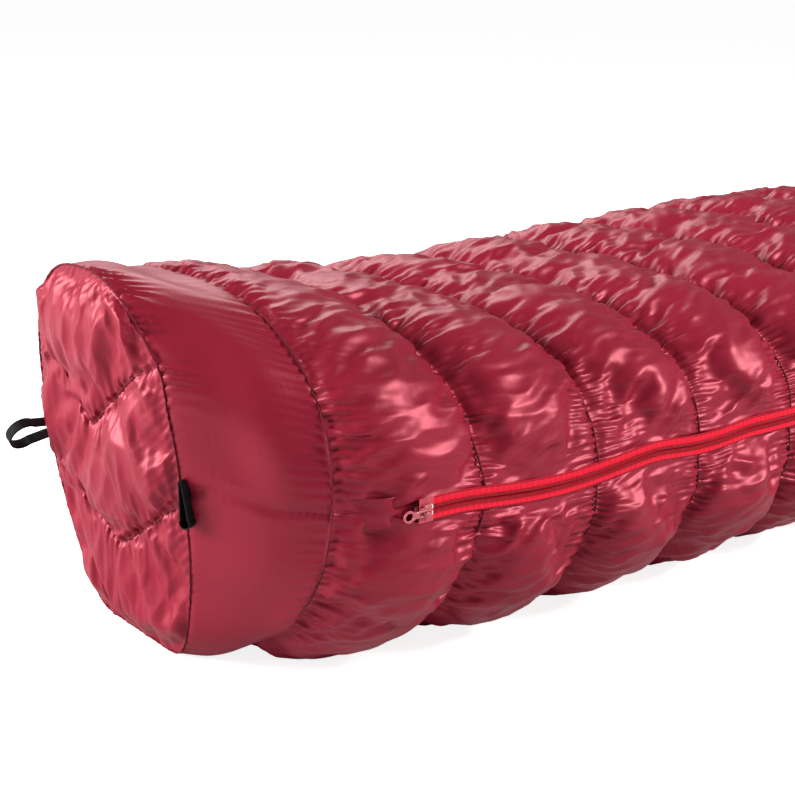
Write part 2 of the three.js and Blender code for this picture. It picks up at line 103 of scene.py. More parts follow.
def half_width(s):
    return 210 * MM + 37 * MM * knee_blend(s) + 0.018 * s


def half_height(s):
    return 156 * MM - 26 * MM * knee_blend(s) + 0.01 * s - 0.03 * np.maximum(0, s - COVER_START)


def middle_height(s):
    return half_height(s) + BAG_LIFT


def rounded_square(turn, exponent):
    cosine, sine = np.cos(2 * np.pi * turn), np.sin(2 * np.pi * turn)
    radius = (np.abs(cosine) ** exponent + np.abs(sine) ** exponent) ** (-1 / exponent)
    return radius * cosine, radius * sine


def quilt_point(s, turn, depth):
    """Points of the quilt: turn is 0 at the zip side, 0.25 on top and 0.5 at the far side."""
    across, up = rounded_square(turn, ROUNDNESS)
    rise = (half_height(s) - depth) * up
    x = SEAM_ONE_X + s + RING_LEAN * rise
    y = MIDDLE_Y - (half_width(s) - depth) * across
    sag = 20 * MM * np.exp(-((turn - 0.25) / 0.13) ** 2 - ((s - 0.3) / 0.42) ** 2)
    return np.stack([x, y, middle_height(s) + rise - sag], axis=-1)


def zip_sag(s):
    """The chain dips between the first seams and weaves a little past the knees."""
    dip = -8 * MM * np.clip(1 - ((s - 0.21) / 0.125) ** 2, 0, 1) ** 2
    dip -= 4 * MM * np.clip(1 - ((s - 0.385) / 0.07) ** 2, 0, 1) ** 2
    far = np.clip((s - 0.45) / 0.1, 0, 1) * np.clip((1.85 - s) / 0.1, 0, 1)
    return dip + 2 * MM * far * np.sin(2 * np.pi * s / (2 * SEAM_PITCH))


def zip_point(s, up=0.0, out=0.0):
    """Points along the zip: up is across the chain, out is away from the bag."""
    base = Vector((SEAM_ONE_X, MIDDLE_Y - ZIP_HALF_WIDTH, ZIP_HEIGHT))
    s = np.asarray(s, dtype=float)
    points = np.array(base) + s[..., None] * np.array(ZIP_ALONG)
    points[..., 2] += up + zip_sag(s)
    points[..., 1] -= out
    return points


def turn_at_zip(s, offset):
    height = ZIP_HEIGHT + ZIP_ALONG.z * s + offset
    ratio = (height - middle_height(s)) / half_height(s)
    across = (1 - np.abs(ratio) ** ROUNDNESS) ** (1 / ROUNDNESS)
    return np.arctan2(ratio, across) / (2 * np.pi)


def lerp(a, b, share):
    return a + (b - a) * share


def smooth_step(value, low, high):
    t = np.clip((value - low) / (high - low), 0, 1)
    return t * t * (3 - 2 * t)

# %% [markdown]
# ## Working with fabric
# Every fabric piece starts as a flat grid. Its points are bent to the bag's form, the cloth solver
# fills it with air, a subdivision makes it smooth, and small gathers are pressed in at the seams.
# A UV map in metres stays on the fabric, so that its weave follows the cloth wherever it goes.

# %% Grids and their points
def link(piece):
    bpy.context.scene.collection.objects.link(piece)
    return piece


def points_of(mesh):
    flat = np.empty(len(mesh.vertices) * 3)
    mesh.vertices.foreach_get("co", flat)
    return flat.reshape(-1, 3)


def set_points(piece, points):
    piece.data.vertices.foreach_set("co", np.asarray(points).ravel())
    piece.data.update()


def normals_of(piece):
    flat = np.empty(len(piece.data.vertices) * 3, dtype=np.float32)
    piece.data.vertex_normals.foreach_get("vector", flat)
    return flat.reshape(-1, 3)


def new_grid(name, columns, rows):
    """A unit sheet with shares u across and v along it, kept on its points as a UV map."""
    sheet = bmesh.new()
    bmesh.ops.create_grid(sheet, x_segments=columns, y_segments=rows, size=0.5)
    piece = link(bpy.data.objects.new(name, bpy.data.meshes.new(name)))
    sheet.to_mesh(piece.data)
    sheet.free()
    shares = points_of(piece.data)[:, :2] + 0.5
    write_uv(piece, shares)
    return piece, shares[:, 0], shares[:, 1]


def loop_corners(piece):
    corners = np.empty(len(piece.data.loops), dtype=np.int32)
    piece.data.loops.foreach_get("vertex_index", corners)
    return corners


def write_uv(piece, values):
    layer = piece.data.uv_layers.get("fabric") or piece.data.uv_layers.new(name="fabric")
    layer.uv.foreach_set("vector", values[loop_corners(piece)].astype(np.float32).ravel())


def read_uv(piece):
    corners = loop_corners(piece)
    flat = np.empty(len(corners) * 2, dtype=np.float32)
    piece.data.uv_layers["fabric"].uv.foreach_get("vector", flat)
    values = np.zeros((len(piece.data.vertices), 2))
    values[corners] = flat.reshape(-1, 2)
    return values[:, 0], values[:, 1]


def face_outwards(piece, centre):
    """Turns the faces round if most of them look towards the centre."""
    middles = points_of(piece.data) - np.asarray(centre)
    if (middles * normals_of(piece)).sum() < 0:
        piece.data.flip_normals()


def apply_modifiers(piece):
    graph = bpy.context.evaluated_depsgraph_get()
    finished = piece.evaluated_get(graph)
    mesh = bpy.data.meshes.new_from_object(finished, preserve_all_data_layers=True, depsgraph=graph)
    piece.modifiers.clear()
    piece.data = mesh


def subdivide(piece, levels=1):
    smoother = piece.modifiers.new("Subdivision", "SUBSURF")
    smoother.levels = smoother.render_levels = levels
    smoother.uv_smooth = "NONE"
    apply_modifiers(piece)


def thicken(piece, thickness, offset=-1):
    wall = piece.modifiers.new("Solidify", "SOLIDIFY")
    wall.thickness = thickness
    wall.offset = offset
    apply_modifiers(piece)


def shade_smooth(piece):
    piece.data.polygons.foreach_set("use_smooth", [True] * len(piece.data.polygons))

# %% [markdown]
# ### Folds and air
# Fabric is creased before it is filled. The solver alone would give smooth balloons on a net
# this coarse, so waves and creases are drawn in first, and the solver then rounds the chambers.

# %% Folds, and the cloth solver
def folds(x, y, shortest, longest, count, seed, heading=0.0, spread=0.35):
    """Smooth waves of mixed lengths that travel roughly along the heading, about 1 high."""
    random = np.random.default_rng(seed)
    total = np.zeros(len(x))
    for _ in range(count):
        length = random.uniform(shortest, longest)
        angle = heading + random.normal(0, spread)
        phase = random.uniform(0, 2 * np.pi)
        total += np.sin(2 * np.pi * (x * np.cos(angle) + y * np.sin(angle)) / length + phase)
    return total / math.sqrt(count)


def creases(x, y, shortest, longest, count, seed, heading=0.0, spread=0.35):
    """Sharp-edged folds that come and go over the fabric, about 1 high."""
    random = np.random.default_rng(seed)
    total = np.zeros(len(x))
    for number in range(count):
        length = random.uniform(shortest, longest)
        angle = heading + random.normal(0, spread)
        phase = random.uniform(0, np.pi)
        bend = 0.3 * length * np.sin(2 * np.pi * y / random.uniform(0.08, 0.16) + 3 * phase)
        travel = (x * np.cos(angle) + y * np.sin(angle) + bend) / length
        patch = np.clip(folds(x, y, 0.06, 0.16, 4, seed * 50 + number, spread=1.5), 0, 1.5)
        total += patch * (1 - 2 * np.abs(np.sin(np.pi * travel + phase)))
    return total / math.sqrt(count)


def inflate(piece, held, pressure, slack, limit, frames=12):
    """Blows cloth up between its held points: slack is how much longer it is than its space."""
    start = points_of(piece.data)
    group = piece.vertex_groups.new(name="held")
    group.add([int(i) for i in np.flatnonzero(held)], 1.0, "REPLACE")
    cloth = piece.modifiers.new("Cloth", "CLOTH")
    fabric = cloth.settings
    fabric.quality = 6
    fabric.mass = 0.15
    fabric.tension_stiffness = fabric.compression_stiffness = 30
    fabric.shear_stiffness = 8
    fabric.bending_stiffness = 3
    fabric.tension_damping = fabric.compression_damping = fabric.shear_damping = 10
    fabric.bending_damping = 0.5
    fabric.air_damping = 2
    fabric.vertex_group_mass = "held"
    fabric.shrink_min = -slack
    fabric.use_pressure = True
    fabric.uniform_pressure_force = pressure
    fabric.effector_weights.gravity = 0
    cloth.collision_settings.use_collision = False
    cloth.collision_settings.use_self_collision = False
    cloth.point_cache.frame_start = 1
    cloth.point_cache.frame_end = frames
    for frame_number in range(1, frames + 1):
        bpy.context.scene.frame_set(frame_number)
    graph = bpy.context.evaluated_depsgraph_get()
    settled = points_of(piece.evaluated_get(graph).to_mesh())
    piece.modifiers.remove(cloth)
    piece.vertex_groups.clear()
    bpy.context.scene.frame_set(1)
    move = settled - start
    length = np.linalg.norm(move, axis=1, keepdims=True)
    set_points(piece, start + move * np.minimum(1, limit / np.maximum(length, 1e-9)))
    print(piece.name, "settled, mean move", round(float(length.mean()) / MM, 1), "mm")

# %% [markdown]
# ## The quilt
# The outer fabric of a real quilted bag is cut longer than the room it gets: elastic in the cross
# seams gathers it, and the filling pushes it out between them. The same happens here. The seams
# and edges are held, the fabric is given some slack, and pressure fills each chamber. The halves
# are separate because on the bag the upper one lifts with the cover and bends over a length of its own.

# %% Outer fabric, above and below the zip
COLUMNS = 180
ROWS_IN_CHAMBER = 18
ZIP_EDGE = 8.8 * MM
GROUND_SOFTNESS = 1.2 * MM
MEAN_RADIUS = 200 * MM
GATHER_RADIUS = 210 * MM


def half_turns(upper, s, u):
    if upper:
        return lerp(turn_at_zip(s, ZIP_EDGE), 0.5, u)
    return lerp(0.5, 1 + turn_at_zip(s, -ZIP_EDGE), u)


def from_nearest_seam(s):
    return np.abs(s - np.rint(s / SEAM_PITCH) * SEAM_PITCH)


def fabric_length(turn, radius=MEAN_RADIUS):
    """How far the fabric runs round the bag for a share of a full turn."""
    return turn * 2 * np.pi * radius


def from_middle(points, s):
    """Unit directions from the bag's middle line out to the points."""
    middle = np.stack([points[:, 0], np.full(len(s), MIDDLE_Y), middle_height(s)], axis=-1)
    outwards = points - middle
    return outwards / np.linalg.norm(outwards, axis=1, keepdims=True)


def chamber_arch(s):
    return np.abs(np.sin(np.pi * s / SEAM_PITCH)) ** 0.8


def away_from_zip(s, turn, upper):
    """Distance over the fabric to its edge at the zip, roughly in metres."""
    edge_turn = turn_at_zip(s, ZIP_EDGE) if upper else 1 + turn_at_zip(s, -ZIP_EDGE)
    return fabric_length(np.abs(turn - edge_turn))


def chamber_loft(s, turn, upper):
    """Crests are full at the sides, slack on top, and low beside the zip."""
    top = 1 - 0.62 * np.exp(-((turn - 0.25) / 0.12) ** 2)
    beside_zip = 1 - 0.6 * np.exp(-(away_from_zip(s, turn, upper) / 0.045) ** 2)
    return CHAMBER_LOFT * chamber_arch(s) * top * beside_zip


def join_to_zip(points, s, turn, upper, out, depth=0.0):
    """Draws the fabric near the zip over to the zip's own line, and closes it at its foot end."""
    side = 1 if upper else -1
    whole = 0 if upper else 1
    edge_turn = whole + turn_at_zip(s, side * ZIP_EDGE)
    loft = chamber_loft(s, edge_turn, upper) - depth
    on_zip_line = zip_point(s, side * ZIP_EDGE, out)
    closed = quilt_point(s, whole + turn_at_zip(s, 0 * s), -loft)
    edge = lerp(closed, on_zip_line, smooth_step(s, 0.028, 0.058)[:, None])
    here = quilt_point(s, edge_turn, -loft)
    share = np.exp(-(away_from_zip(s, turn, upper) / 0.03) ** 2)
    return points + (edge - here) * share[:, None]


def kept_near(points, smooth, outwards, room, depth):
    """Squeezes what stands further than its room off the smooth form, and keeps every fold."""
    move = points - smooth
    height = (move * outwards).sum(axis=1)
    squeezed = np.where(height > 0, room * np.tanh(height / room), -depth * np.tanh(-height / depth))
    return points + outwards * (squeezed - height)[:, None]


def above_ground(points):
    """Flattens what would sink below the ground, softly."""
    height = points[:, 2]
    softened = GROUND_SOFTNESS * np.log1p(np.exp(np.clip(height / GROUND_SOFTNESS, -40, 40)))
    points[:, 2] = np.where(height > 10 * GROUND_SOFTNESS, height, softened)
    return points


def press_gathers(piece):
    """Small pleats that start at each gathered seam and fade out into the chamber."""
    turn, s = read_uv(piece)
    arc = fabric_length(turn, GATHER_RADIUS)
    seam = np.rint(s / SEAM_PITCH)
    distance = from_nearest_seam(s)
    sway = 1.6 * folds(arc, s, 0.03, 0.07, 6, 11)
    pleats = np.sin(2 * np.pi * arc / (9 * MM) + sway + 2.4 * seam)
    pleats += 0.7 * np.sin(2 * np.pi * arc / (14 * MM) - sway + 1.1 * seam)
    reach = (14 + 6 * np.sin(arc / 0.045 + 3 * seam)) * MM
    fade = np.exp(-distance / reach) * (1 - 0.45 * np.exp(-distance / (2 * MM)))
    valley = -2.6 * MM * np.exp(-(distance / (5 * MM)) ** 2)
    edge = smooth_step(s, 0, 0.004) * smooth_step(BAG_END - s, 0, 0.004)
    height = 2.0 * MM * pleats * fade + valley
    open_cloth = smooth_step(distance, 0, 0.02)
    height += 1.5 * MM * creases(arc, s, 0.014, 0.034, 10, 71, heading=-0.45, spread=0.2) * open_cloth
    height += 2.2 * MM * creases(arc, s, 0.02, 0.05, 8, 77, heading=-0.6, spread=0.25) * open_cloth
    points = points_of(piece.data) + normals_of(piece) * (height * edge)[:, None]
    set_points(piece, above_ground(points))


def quilted_half(name, upper, seed):
    piece, u, v = new_grid(name, COLUMNS, CHAMBERS * ROWS_IN_CHAMBER)
    s = v * BAG_END
    row = np.rint(v * CHAMBERS * ROWS_IN_CHAMBER).astype(int)
    turn = half_turns(upper, s, u)
    write_uv(piece, np.stack([turn, s], axis=-1))
    arch = chamber_arch(s)
    loft = chamber_loft(s, turn, upper)
    points = quilt_point(s, turn, -loft)
    points = join_to_zip(points, s, turn, upper, 0)
    held = (row % ROWS_IN_CHAMBER == 0) | (u < 1e-6) | (u > 1 - 1e-6)
    outwards = from_middle(points, s)
    arc = fabric_length(turn)
    from_seam = from_nearest_seam(s)
    away = away_from_zip(s, turn, upper)
    crumple = folds(arc, s, 0.022, 0.06, 26, seed, heading=-0.3) * 1.6 * MM
    crumple += folds(arc, s, 0.06, 0.14, 8, seed + 1, heading=-0.7) * 2.2 * MM
    crumple += creases(arc, s, 0.025, 0.07, 12, seed + 3, heading=-0.5) * 4.4 * MM
    crumple += folds(arc, s, 0.013, 0.024, 12, seed + 2, heading=-0.2) * 1.8 * MM * np.exp(-from_seam / 0.02)
    crumple *= np.sqrt(arch) * ~held * smooth_step(away, 0, 0.02)
    set_points(piece, above_ground(points + outwards * crumple[:, None]))
    face_outwards(piece, (0, MIDDLE_Y, 0.14))
    inflate(piece, held, pressure=18, slack=0.13, limit=24 * MM)
    room = np.minimum(13 * MM, 2 * MM + 0.16 * away)
    settled = kept_near(points_of(piece.data), points, outwards, room, 9 * MM)
    near_zip = np.exp(-(away / 0.02) ** 2)[:, None]
    settled = lerp(settled, points, near_zip)
    set_points(piece, above_ground(settled))
    subdivide(piece)
    press_gathers(piece)
    shade_smooth(piece)
    return piece


upper_quilt = quilted_half("upper_quilt", True, 3)
lower_quilt = quilted_half("lower_quilt", False, 8)
print("quilt faces", len(upper_quilt.data.polygons) + len(lower_quilt.data.polygons))

# %% [markdown]
# ## Lining, filling and binding
# Inside each half a layer of filling and a lining follow the outer fabric at a fixed depth. A
# narrow binding closes the layers at the mouth, and a soft tube lies behind the zip.

# %% Inner layers
def inner_layer(name, upper, depth, thickness, seed, columns=70, rows_in_chamber=8, flap=0.0):
    """Flap is how far, in turns, the layer runs on past the edge opposite the zip."""
    piece, u, v = new_grid(name, columns, CHAMBERS * rows_in_chamber)
    s = 1.5 * MM + v * (BAG_END - 3 * MM)
    turn = half_turns(upper, s, u)
    turn = turn - flap * (1 - smooth_step(u, 0, 0.12))
    write_uv(piece, np.stack([turn, s], axis=-1))
    arch = chamber_arch(s)
    ease = smooth_step(u, 0, 0.03) * smooth_step(1 - u, 0, 0.03)
    crumple = folds(turn * 1.3, s, 0.04, 0.1, 12, seed) * 0.7 * MM * ease
    depth = depth + 2.5 * MM * (flap > 0) * (1 - smooth_step(turn, 0.48, 0.51))
    points = quilt_point(s, turn, depth - 2 * MM * arch * ease + crumple)
    side = 1 if upper else -1
    edge_turn = turn_at_zip(s, side * ZIP_EDGE) + (0 if upper else 1)
    sag = zip_sag(s) * np.exp(-(np.abs(turn - edge_turn) * 1.3 / 0.03) ** 2)
    points[:, 2] += sag
    set_points(piece, points)
    face_outwards(piece, (0, MIDDLE_Y, 0.14))
    thicken(piece, thickness)
    shade_smooth(piece)
    return piece


FILLING = (10 * MM, 3 * MM)
LINING = (14.6 * MM, 0.5 * MM)
UPPER_FOLDS, LOWER_FOLDS = 21, 22
HINGE_FLAP = 0.055
upper_filling = inner_layer("upper_filling", True, *FILLING, UPPER_FOLDS, 50, 6)
lower_filling = inner_layer("lower_filling", False, *FILLING, LOWER_FOLDS, 50, 6)
upper_lining = inner_layer("upper_lining", True, *LINING, UPPER_FOLDS)
lower_lining = inner_layer("lower_lining", False, *LINING, LOWER_FOLDS, flap=HINGE_FLAP)
for inner in (upper_filling, lower_filling, upper_lining, lower_lining):
    set_points(inner, above_ground(points_of(inner.data)))
print("inner layers", [len(inner.data.polygons) for inner in (upper_lining, lower_lining)])

# %% [markdown]
# ### Tubes
# Bindings, cords and threads are all tubes. A bevelled curve would do, but a net of points lets a
# tube pucker, change its section, and stay on the fabric that it belongs to.

# %% Tubes along a path
def weld(piece, close_ends=False):
    """Joins the points that meet, and turns every face the same way."""
    skin = bmesh.new()
    skin.from_mesh(piece.data)
    bmesh.ops.remove_doubles(skin, verts=skin.verts, dist=1e-5)
    rims = [edge for edge in skin.edges if edge.is_boundary]
    if close_ends and rims:
        bmesh.ops.holes_fill(skin, edges=rims)
    bmesh.ops.recalc_face_normals(skin, faces=skin.faces)
    skin.to_mesh(piece.data)
    skin.free()


def cord_ring(centre, outwards, radius, angle):
    """Points round a cord: angle 0 faces outwards, and a quarter turn on faces the mouth."""
    ring = centre + outwards * (radius * np.cos(angle))[:, None]
    ring[:, 0] += radius * np.sin(angle)
    return above_ground(ring)


def tube(name, along, around, place):
    """A closed tube: place(v, a) gives points for shares v along it and angles a round it."""
    piece, u, v = new_grid(name, around, along)
    set_points(piece, place(v, 2 * np.pi * u))
    write_uv(piece, np.stack([u, v], axis=-1))
    weld(piece, close_ends=True)
    shade_smooth(piece)
    return piece

# %% [markdown]
# ### Mouth binding
# A strip of lining folded over the raw edges at the mouth. A flattened tube, puckered by its
# stitches, stands for it. It has two halves because one of them lifts with the cover.

# %% Mouth binding
def mouth_binding(name, upper):
    def place(v, angle):
        pucker = 1 + 0.05 * np.sin(v * 2 * np.pi * 70)
        s = BAG_END + 7 * MM - 7 * MM * np.cos(angle) * pucker
        depth = 6.5 * MM + 9.5 * MM * np.sin(angle) * pucker
        turn = half_turns(upper, np.full(len(v), BAG_END), v)
        return above_ground(quilt_point(s, turn, depth))

    return tube(name, 280, 14, place)


upper_binding = mouth_binding("upper_binding", True)
lower_binding = mouth_binding("lower_binding", False)

# %% [markdown]
# ### Draught tube
# A padded roll behind the zip keeps cold air out. It could be inflated like the quilt, but it is
# hidden while the bag is closed, so a tube with slight swellings is enough.

# %% Draught tube
TUBE_RADIUS = 7.5 * MM
TUBE_DEPTH = 10.9 * MM


def draught_place(v, angle):
    s = lerp(ZIP_START + 18 * MM, BAG_END - 6 * MM, v)
    radius = TUBE_RADIUS * (0.9 + 0.06 * np.sin(2 * np.pi * s / 0.031) * np.sin(3 * angle))
    up = radius * np.sin(angle)
    out = -TUBE_DEPTH + radius * np.cos(angle)
    return zip_point(s, up, out)


draught_tube = tube("draught_tube", 360, 14, draught_place)
print("draught tube", len(draught_tube.data.polygons), "faces")

# %% [markdown]
# ## The foot box
# The foot is a boxed end: a panel that is square at the ground and arched at the top, a smooth
# padded band from it to the first cross seam, and two gathered V seams across the panel.

# %% Laws of the foot box
FACE_HALF_WIDTH = 112 * MM
FACE_HALF_HEIGHT = 164 * MM
BAND_LOFT = 8 * MM


def face_x(z):
    return SEAM_ONE_X - 50 * MM - 0.133 * z


def face_outline(turn, inset):
    """Sideways and upright places of the panel's outline."""
    exponent = np.where(np.sin(2 * np.pi * turn) > 0, 2.4, 9)
    across, up = rounded_square(turn, exponent)
    z = FACE_HALF_HEIGHT + (FACE_HALF_HEIGHT - inset) * up
    tuck = 38 * MM * np.maximum(0, 1 - z / (138 * MM)) ** 1.5
    return MIDDLE_Y - (FACE_HALF_WIDTH - tuck - inset) * across, z


def band_point(turn, along, depth):
    crown = BAND_LOFT * np.sin(np.pi * along) * (1 - 0.8 * np.exp(-((turn - 0.25) / 0.12) ** 2))
    y, z = face_outline(turn, depth - crown)
    start = np.stack([face_x(z), y, z], axis=-1)
    return lerp(start, quilt_point(0 * turn, turn, depth - crown), along[:, None])


OUTLINE_TURNS = np.linspace(-0.25, 0.75, 4001)
OUTLINE_Z = face_outline(OUTLINE_TURNS, 0)[1]
V_SEAMS = [(0.155, 0.086), (0.272, 0.188)]
V_SHIFT = [0.0, 0.09]


def turn_at_height(z, near):
    part = slice(400, 1600) if near else slice(3600, 2400, -1)
    return float(np.interp(z, OUTLINE_Z[part], OUTLINE_TURNS[part]))


def pinched(points):
    """The end of the upper V seam pushes the panel's edge out to a corner, the lower draws it in."""
    for height, near, side, push in ((0.262, True, -1, 8 * MM), (0.155, True, -1, -3 * MM)):
        y, z = face_outline(np.array([turn_at_height(height, near)]), 0)
        spot = np.array([face_x(z[0]), y[0], z[0]])
        away = (points - spot) / (np.array([34, 40, 22]) * MM)
        share = np.exp(-(away ** 2).sum(axis=1))
        points[:, 1] += side * push * share
    return points

# %% [markdown]
# ### Foot band
# A smooth padded strip from the panel to the first cross seam, sewn from two parts. It is lofted
# between its two outlines, because it has no slack to inflate. Its pleats are pressed in, and the
# thick rolls at its near shoulder are where the panel's seam pulls hardest.

# %% Foot band
def foot_band(name, upper, seed):
    piece, u, v = new_grid(name, 220, 36)
    border = 0.008 * np.sin(2 * np.pi * v) * (1 - v)
    turn = lerp(border, 0.5 - border, u) if upper else lerp(0.5 - border, 1 + border, u)
    points = band_point(turn, v, 0 * u)
    arc = fabric_length(turn)
    ease = smooth_step(u, 0, 0.03) * smooth_step(1 - u, 0, 0.03)
    swell = folds(arc, 0.14 * v, 0.07, 0.19, 9, seed, heading=1.2, spread=0.9) * 2.2 * MM
    near_ring = np.exp(-(1 - v) / 0.16)
    near_panel = np.exp(-v / 0.07)
    sway = folds(arc, 0.14 * v, 0.04, 0.09, 5, seed + 1)
    pleats = np.sin(2 * np.pi * arc / (11 * MM) + 1.4 * sway) * near_ring * 1.3 * MM
    pleats += np.sin(2 * np.pi * arc / (8 * MM) + 1.8 * sway) * near_panel * 0.9 * MM
    shoulder = smooth_step(turn, 0.05, 0.09) * (1 - smooth_step(turn, 0.2, 0.27))
    shoulder = shoulder * np.exp(-(v / 0.2) ** 2)
    rolls = 0.45 - np.abs(np.sin(np.pi * arc / (15 * MM) + 1.2 * sway + 6 * v))
    pleats += rolls * shoulder * 5 * MM
    height = (swell * ease + pleats) * smooth_step(v, 0, 0.02) * smooth_step(1 - v, 0, 0.02)
    height -= 1.2 * MM * (np.exp(-(v / 0.02) ** 2) + np.exp(-((1 - v) / 0.02) ** 2))
    edge = np.minimum(u, 1 - u)
    height -= 3 * MM * np.exp(-(edge / 0.012) ** 2)
    height += np.sin(2 * np.pi * v * 17) * np.exp(-edge / 0.025) * 0.8 * MM * smooth_step(v, 0.1, 0.4)
    write_uv(piece, np.stack([turn, 0.14 * v], axis=-1))
    set_points(piece, points)
    face_outwards(piece, (SEAM_ONE_X, MIDDLE_Y, 0.16))
    points = points + normals_of(piece) * height[:, None]
    set_points(piece, above_ground(pinched(points)))
    shade_smooth(piece)
    return piece


foot_band_upper = foot_band("foot_band_upper", True, 31)
foot_band_lower = foot_band("foot_band_lower", False, 34)

# %% [markdown]
# ### Foot panel
# A flat quilted end with three chambers. The rows of its net are laid along the V seams, so that
# the seams can be held while the solver fills the chambers between them.

# %% Foot panel
PANEL_COLUMNS = 96
PANEL_ROWS = 96
PANEL_KNOTS = [0, 0.3, 0.64, 1]


def panel_rows(u, v):
    """Bottom edge, two V seams and arched top, blended so that the sides keep the outline."""
    near = [-0.125] + [turn_at_height(z, True) for z, _ in V_SEAMS] + [0.125]
    far = [0.625] + [turn_at_height(z, False) for z, _ in V_SEAMS] + [0.375]
    knots = PANEL_KNOTS

    def side(turns, share):
        return np.stack(face_outline(np.interp(share, knots, turns), 0), axis=-1)

    def row_curve(number, share):
        if number == 0:
            return np.stack(face_outline(lerp(-0.125, -0.375, share), 0), axis=-1)
        if number == 3:
            return np.stack(face_outline(lerp(0.125, 0.375, share), 0), axis=-1)
        start, end = side(near, np.array([knots[number]])), side(far, np.array([knots[number]]))
        straight = lerp(start, end, share[:, None])
        drop = V_SEAMS[number - 1][0] - V_SEAMS[number - 1][1]
        middle = 0.5 + V_SHIFT[number - 1]
        from_apex = np.where(share < middle, 1 - share / middle, (share - middle) / (1 - middle))
        straight[:, 1] -= drop * (1 - np.sqrt(from_apex ** 2 + 0.002))
        return straight

    flat = np.zeros((len(u), 2))
    for number in range(3):
        inside = (v >= knots[number] - 1e-9) & (v <= knots[number + 1] + 1e-9)
        share = ((v - knots[number]) / (knots[number + 1] - knots[number]))[inside, None]
        here = u[inside]
        block = lerp(row_curve(number, here), row_curve(number + 1, here), share)
        for turns, weight, end in ((near, 1 - here, 0 * here), (far, here, 0 * here + 1)):
            straight = lerp(row_curve(number, end), row_curve(number + 1, end), share)
            block += weight[:, None] * (side(turns, v[inside]) - straight)
        flat[inside] = block
    return flat


def foot_panel_piece():
    piece, u, v = new_grid("foot_panel", PANEL_COLUMNS, PANEL_ROWS)
    knots = [round(knot * PANEL_ROWS) for knot in PANEL_KNOTS]
    row = np.rint(v * PANEL_ROWS).astype(int)
    v = np.interp(row, knots, PANEL_KNOTS)
    flat = panel_rows(u, v)
    seam_row = np.isin(row, knots[1:3])
    rim = (row == 0) | (row == PANEL_ROWS) | (u < 1e-6) | (u > 1 - 1e-6)
    share = np.interp(row, knots, [0, 1, 2, 3]) % 1
    inset = smooth_step(u, 0, 0.12) * smooth_step(1 - u, 0, 0.12)
    inset *= smooth_step(v, 0, 0.08) * smooth_step(1 - v, 0, 0.08)
    crown = 5 * MM * inset + 5 * MM * inset * np.sin(np.pi * share) ** 0.7
    y, z = flat[:, 0], flat[:, 1]
    ripples = folds(y, z, 0.02, 0.06, 14, 41, spread=0.25) * 1.5 * MM
    out = crown + ripples * inset * ~seam_row * np.exp(-0.5 * share)
    points = np.stack([face_x(z) - out, y, z], axis=-1)
    write_uv(piece, np.stack([y, z], axis=-1))
    set_points(piece, points)
    face_outwards(piece, (SEAM_ONE_X + 0.2, MIDDLE_Y, 0.16))
    inflate(piece, seam_row | rim, pressure=10, slack=0.07, limit=8 * MM)
    near_rim = np.minimum(np.minimum(u, 1 - u), np.minimum(v, 1 - v))
    settled = lerp(points, points_of(piece.data), smooth_step(near_rim, 0, 0.07)[:, None])
    settled = above_ground(pinched(settled))
    set_points(piece, settled)
    lines = [settled[row == knot][np.argsort(u[row == knot])] for knot in knots[1:3]]
    return piece, lines


foot_panel, v_seam_lines = foot_panel_piece()
subdivide(foot_panel)

# %% [markdown]
# ### Gathers on the panel
# Thread that is pulled tight leaves pleats beside its seam. They are finer than the net the solver
# can use, so they are pressed in along the normals after the subdivision.

# %% Gathers of the panel's seams
def panel_gathers(piece):
    y, z = read_uv(piece)
    height = np.zeros(len(y))
    for line in v_seam_lines:
        order = np.argsort(line[:, 1])
        distance = np.abs(z - np.interp(y, line[order, 1], line[order, 2])) * 0.87
        pleats = np.sin(2 * np.pi * y / (8 * MM) + 1.5 * folds(y, z, 0.03, 0.07, 5, 45))
        height += 1.0 * MM * pleats * np.exp(-distance / (12 * MM))
        height -= 2.2 * MM * np.exp(-(distance / (3 * MM)) ** 2)
    height += 1.5 * MM * creases(y, z, 0.014, 0.035, 10, 48, heading=0.12, spread=0.15)
    inside = np.minimum(FACE_HALF_WIDTH - np.abs(y - MIDDLE_Y), 2 * FACE_HALF_HEIGHT - z)
    rim = np.exp(-np.maximum(inside, 0) / (14 * MM))
    height += 0.9 * MM * rim * np.sin(2 * np.pi * (y + z) / (9 * MM) + folds(y, z, 0.03, 0.08, 5, 46))
    set_points(piece, points_of(piece.data) + normals_of(piece) * height[:, None])


panel_gathers(foot_panel)
shade_smooth(foot_panel)
print("foot panel", len(foot_panel.data.polygons), "faces")

# %% [markdown]
# ### Corded seam
# The panel and the band meet in a sewn edge with a thin cord in it. The cord is a tube that
# follows the panel's outline, set in by its own radius so that fabric covers half of it.

# %% Corded seam round the panel
def piping_place(v, angle):
    turn = -0.25 + v
    y, z = face_outline(turn, 0)
    y_out, z_out = face_outline(turn, -1 * MM)
    outwards = np.stack([0 * y, y_out - y, z_out - z], axis=-1)
    outwards /= np.maximum(np.linalg.norm(outwards, axis=1, keepdims=True), 1e-9)
    centre = pinched(np.stack([face_x(z) + 0.5 * MM, y, z], axis=-1)) - outwards * 1 * MM
    radius = (0.9 + 0.3 * np.sin(2 * np.pi * v * 113) * np.sin(2 * np.pi * v * 47)) * MM
    return cord_ring(centre, outwards, radius, angle)


panel_piping = tube("panel_piping", 900, 8, piping_place)

# %% [markdown]
# ### Threads of the V seams
# The stitches lie at the bottom of each V seam. The panel's held rows are kept as lines, and a
# thin uneven tube follows each of them.

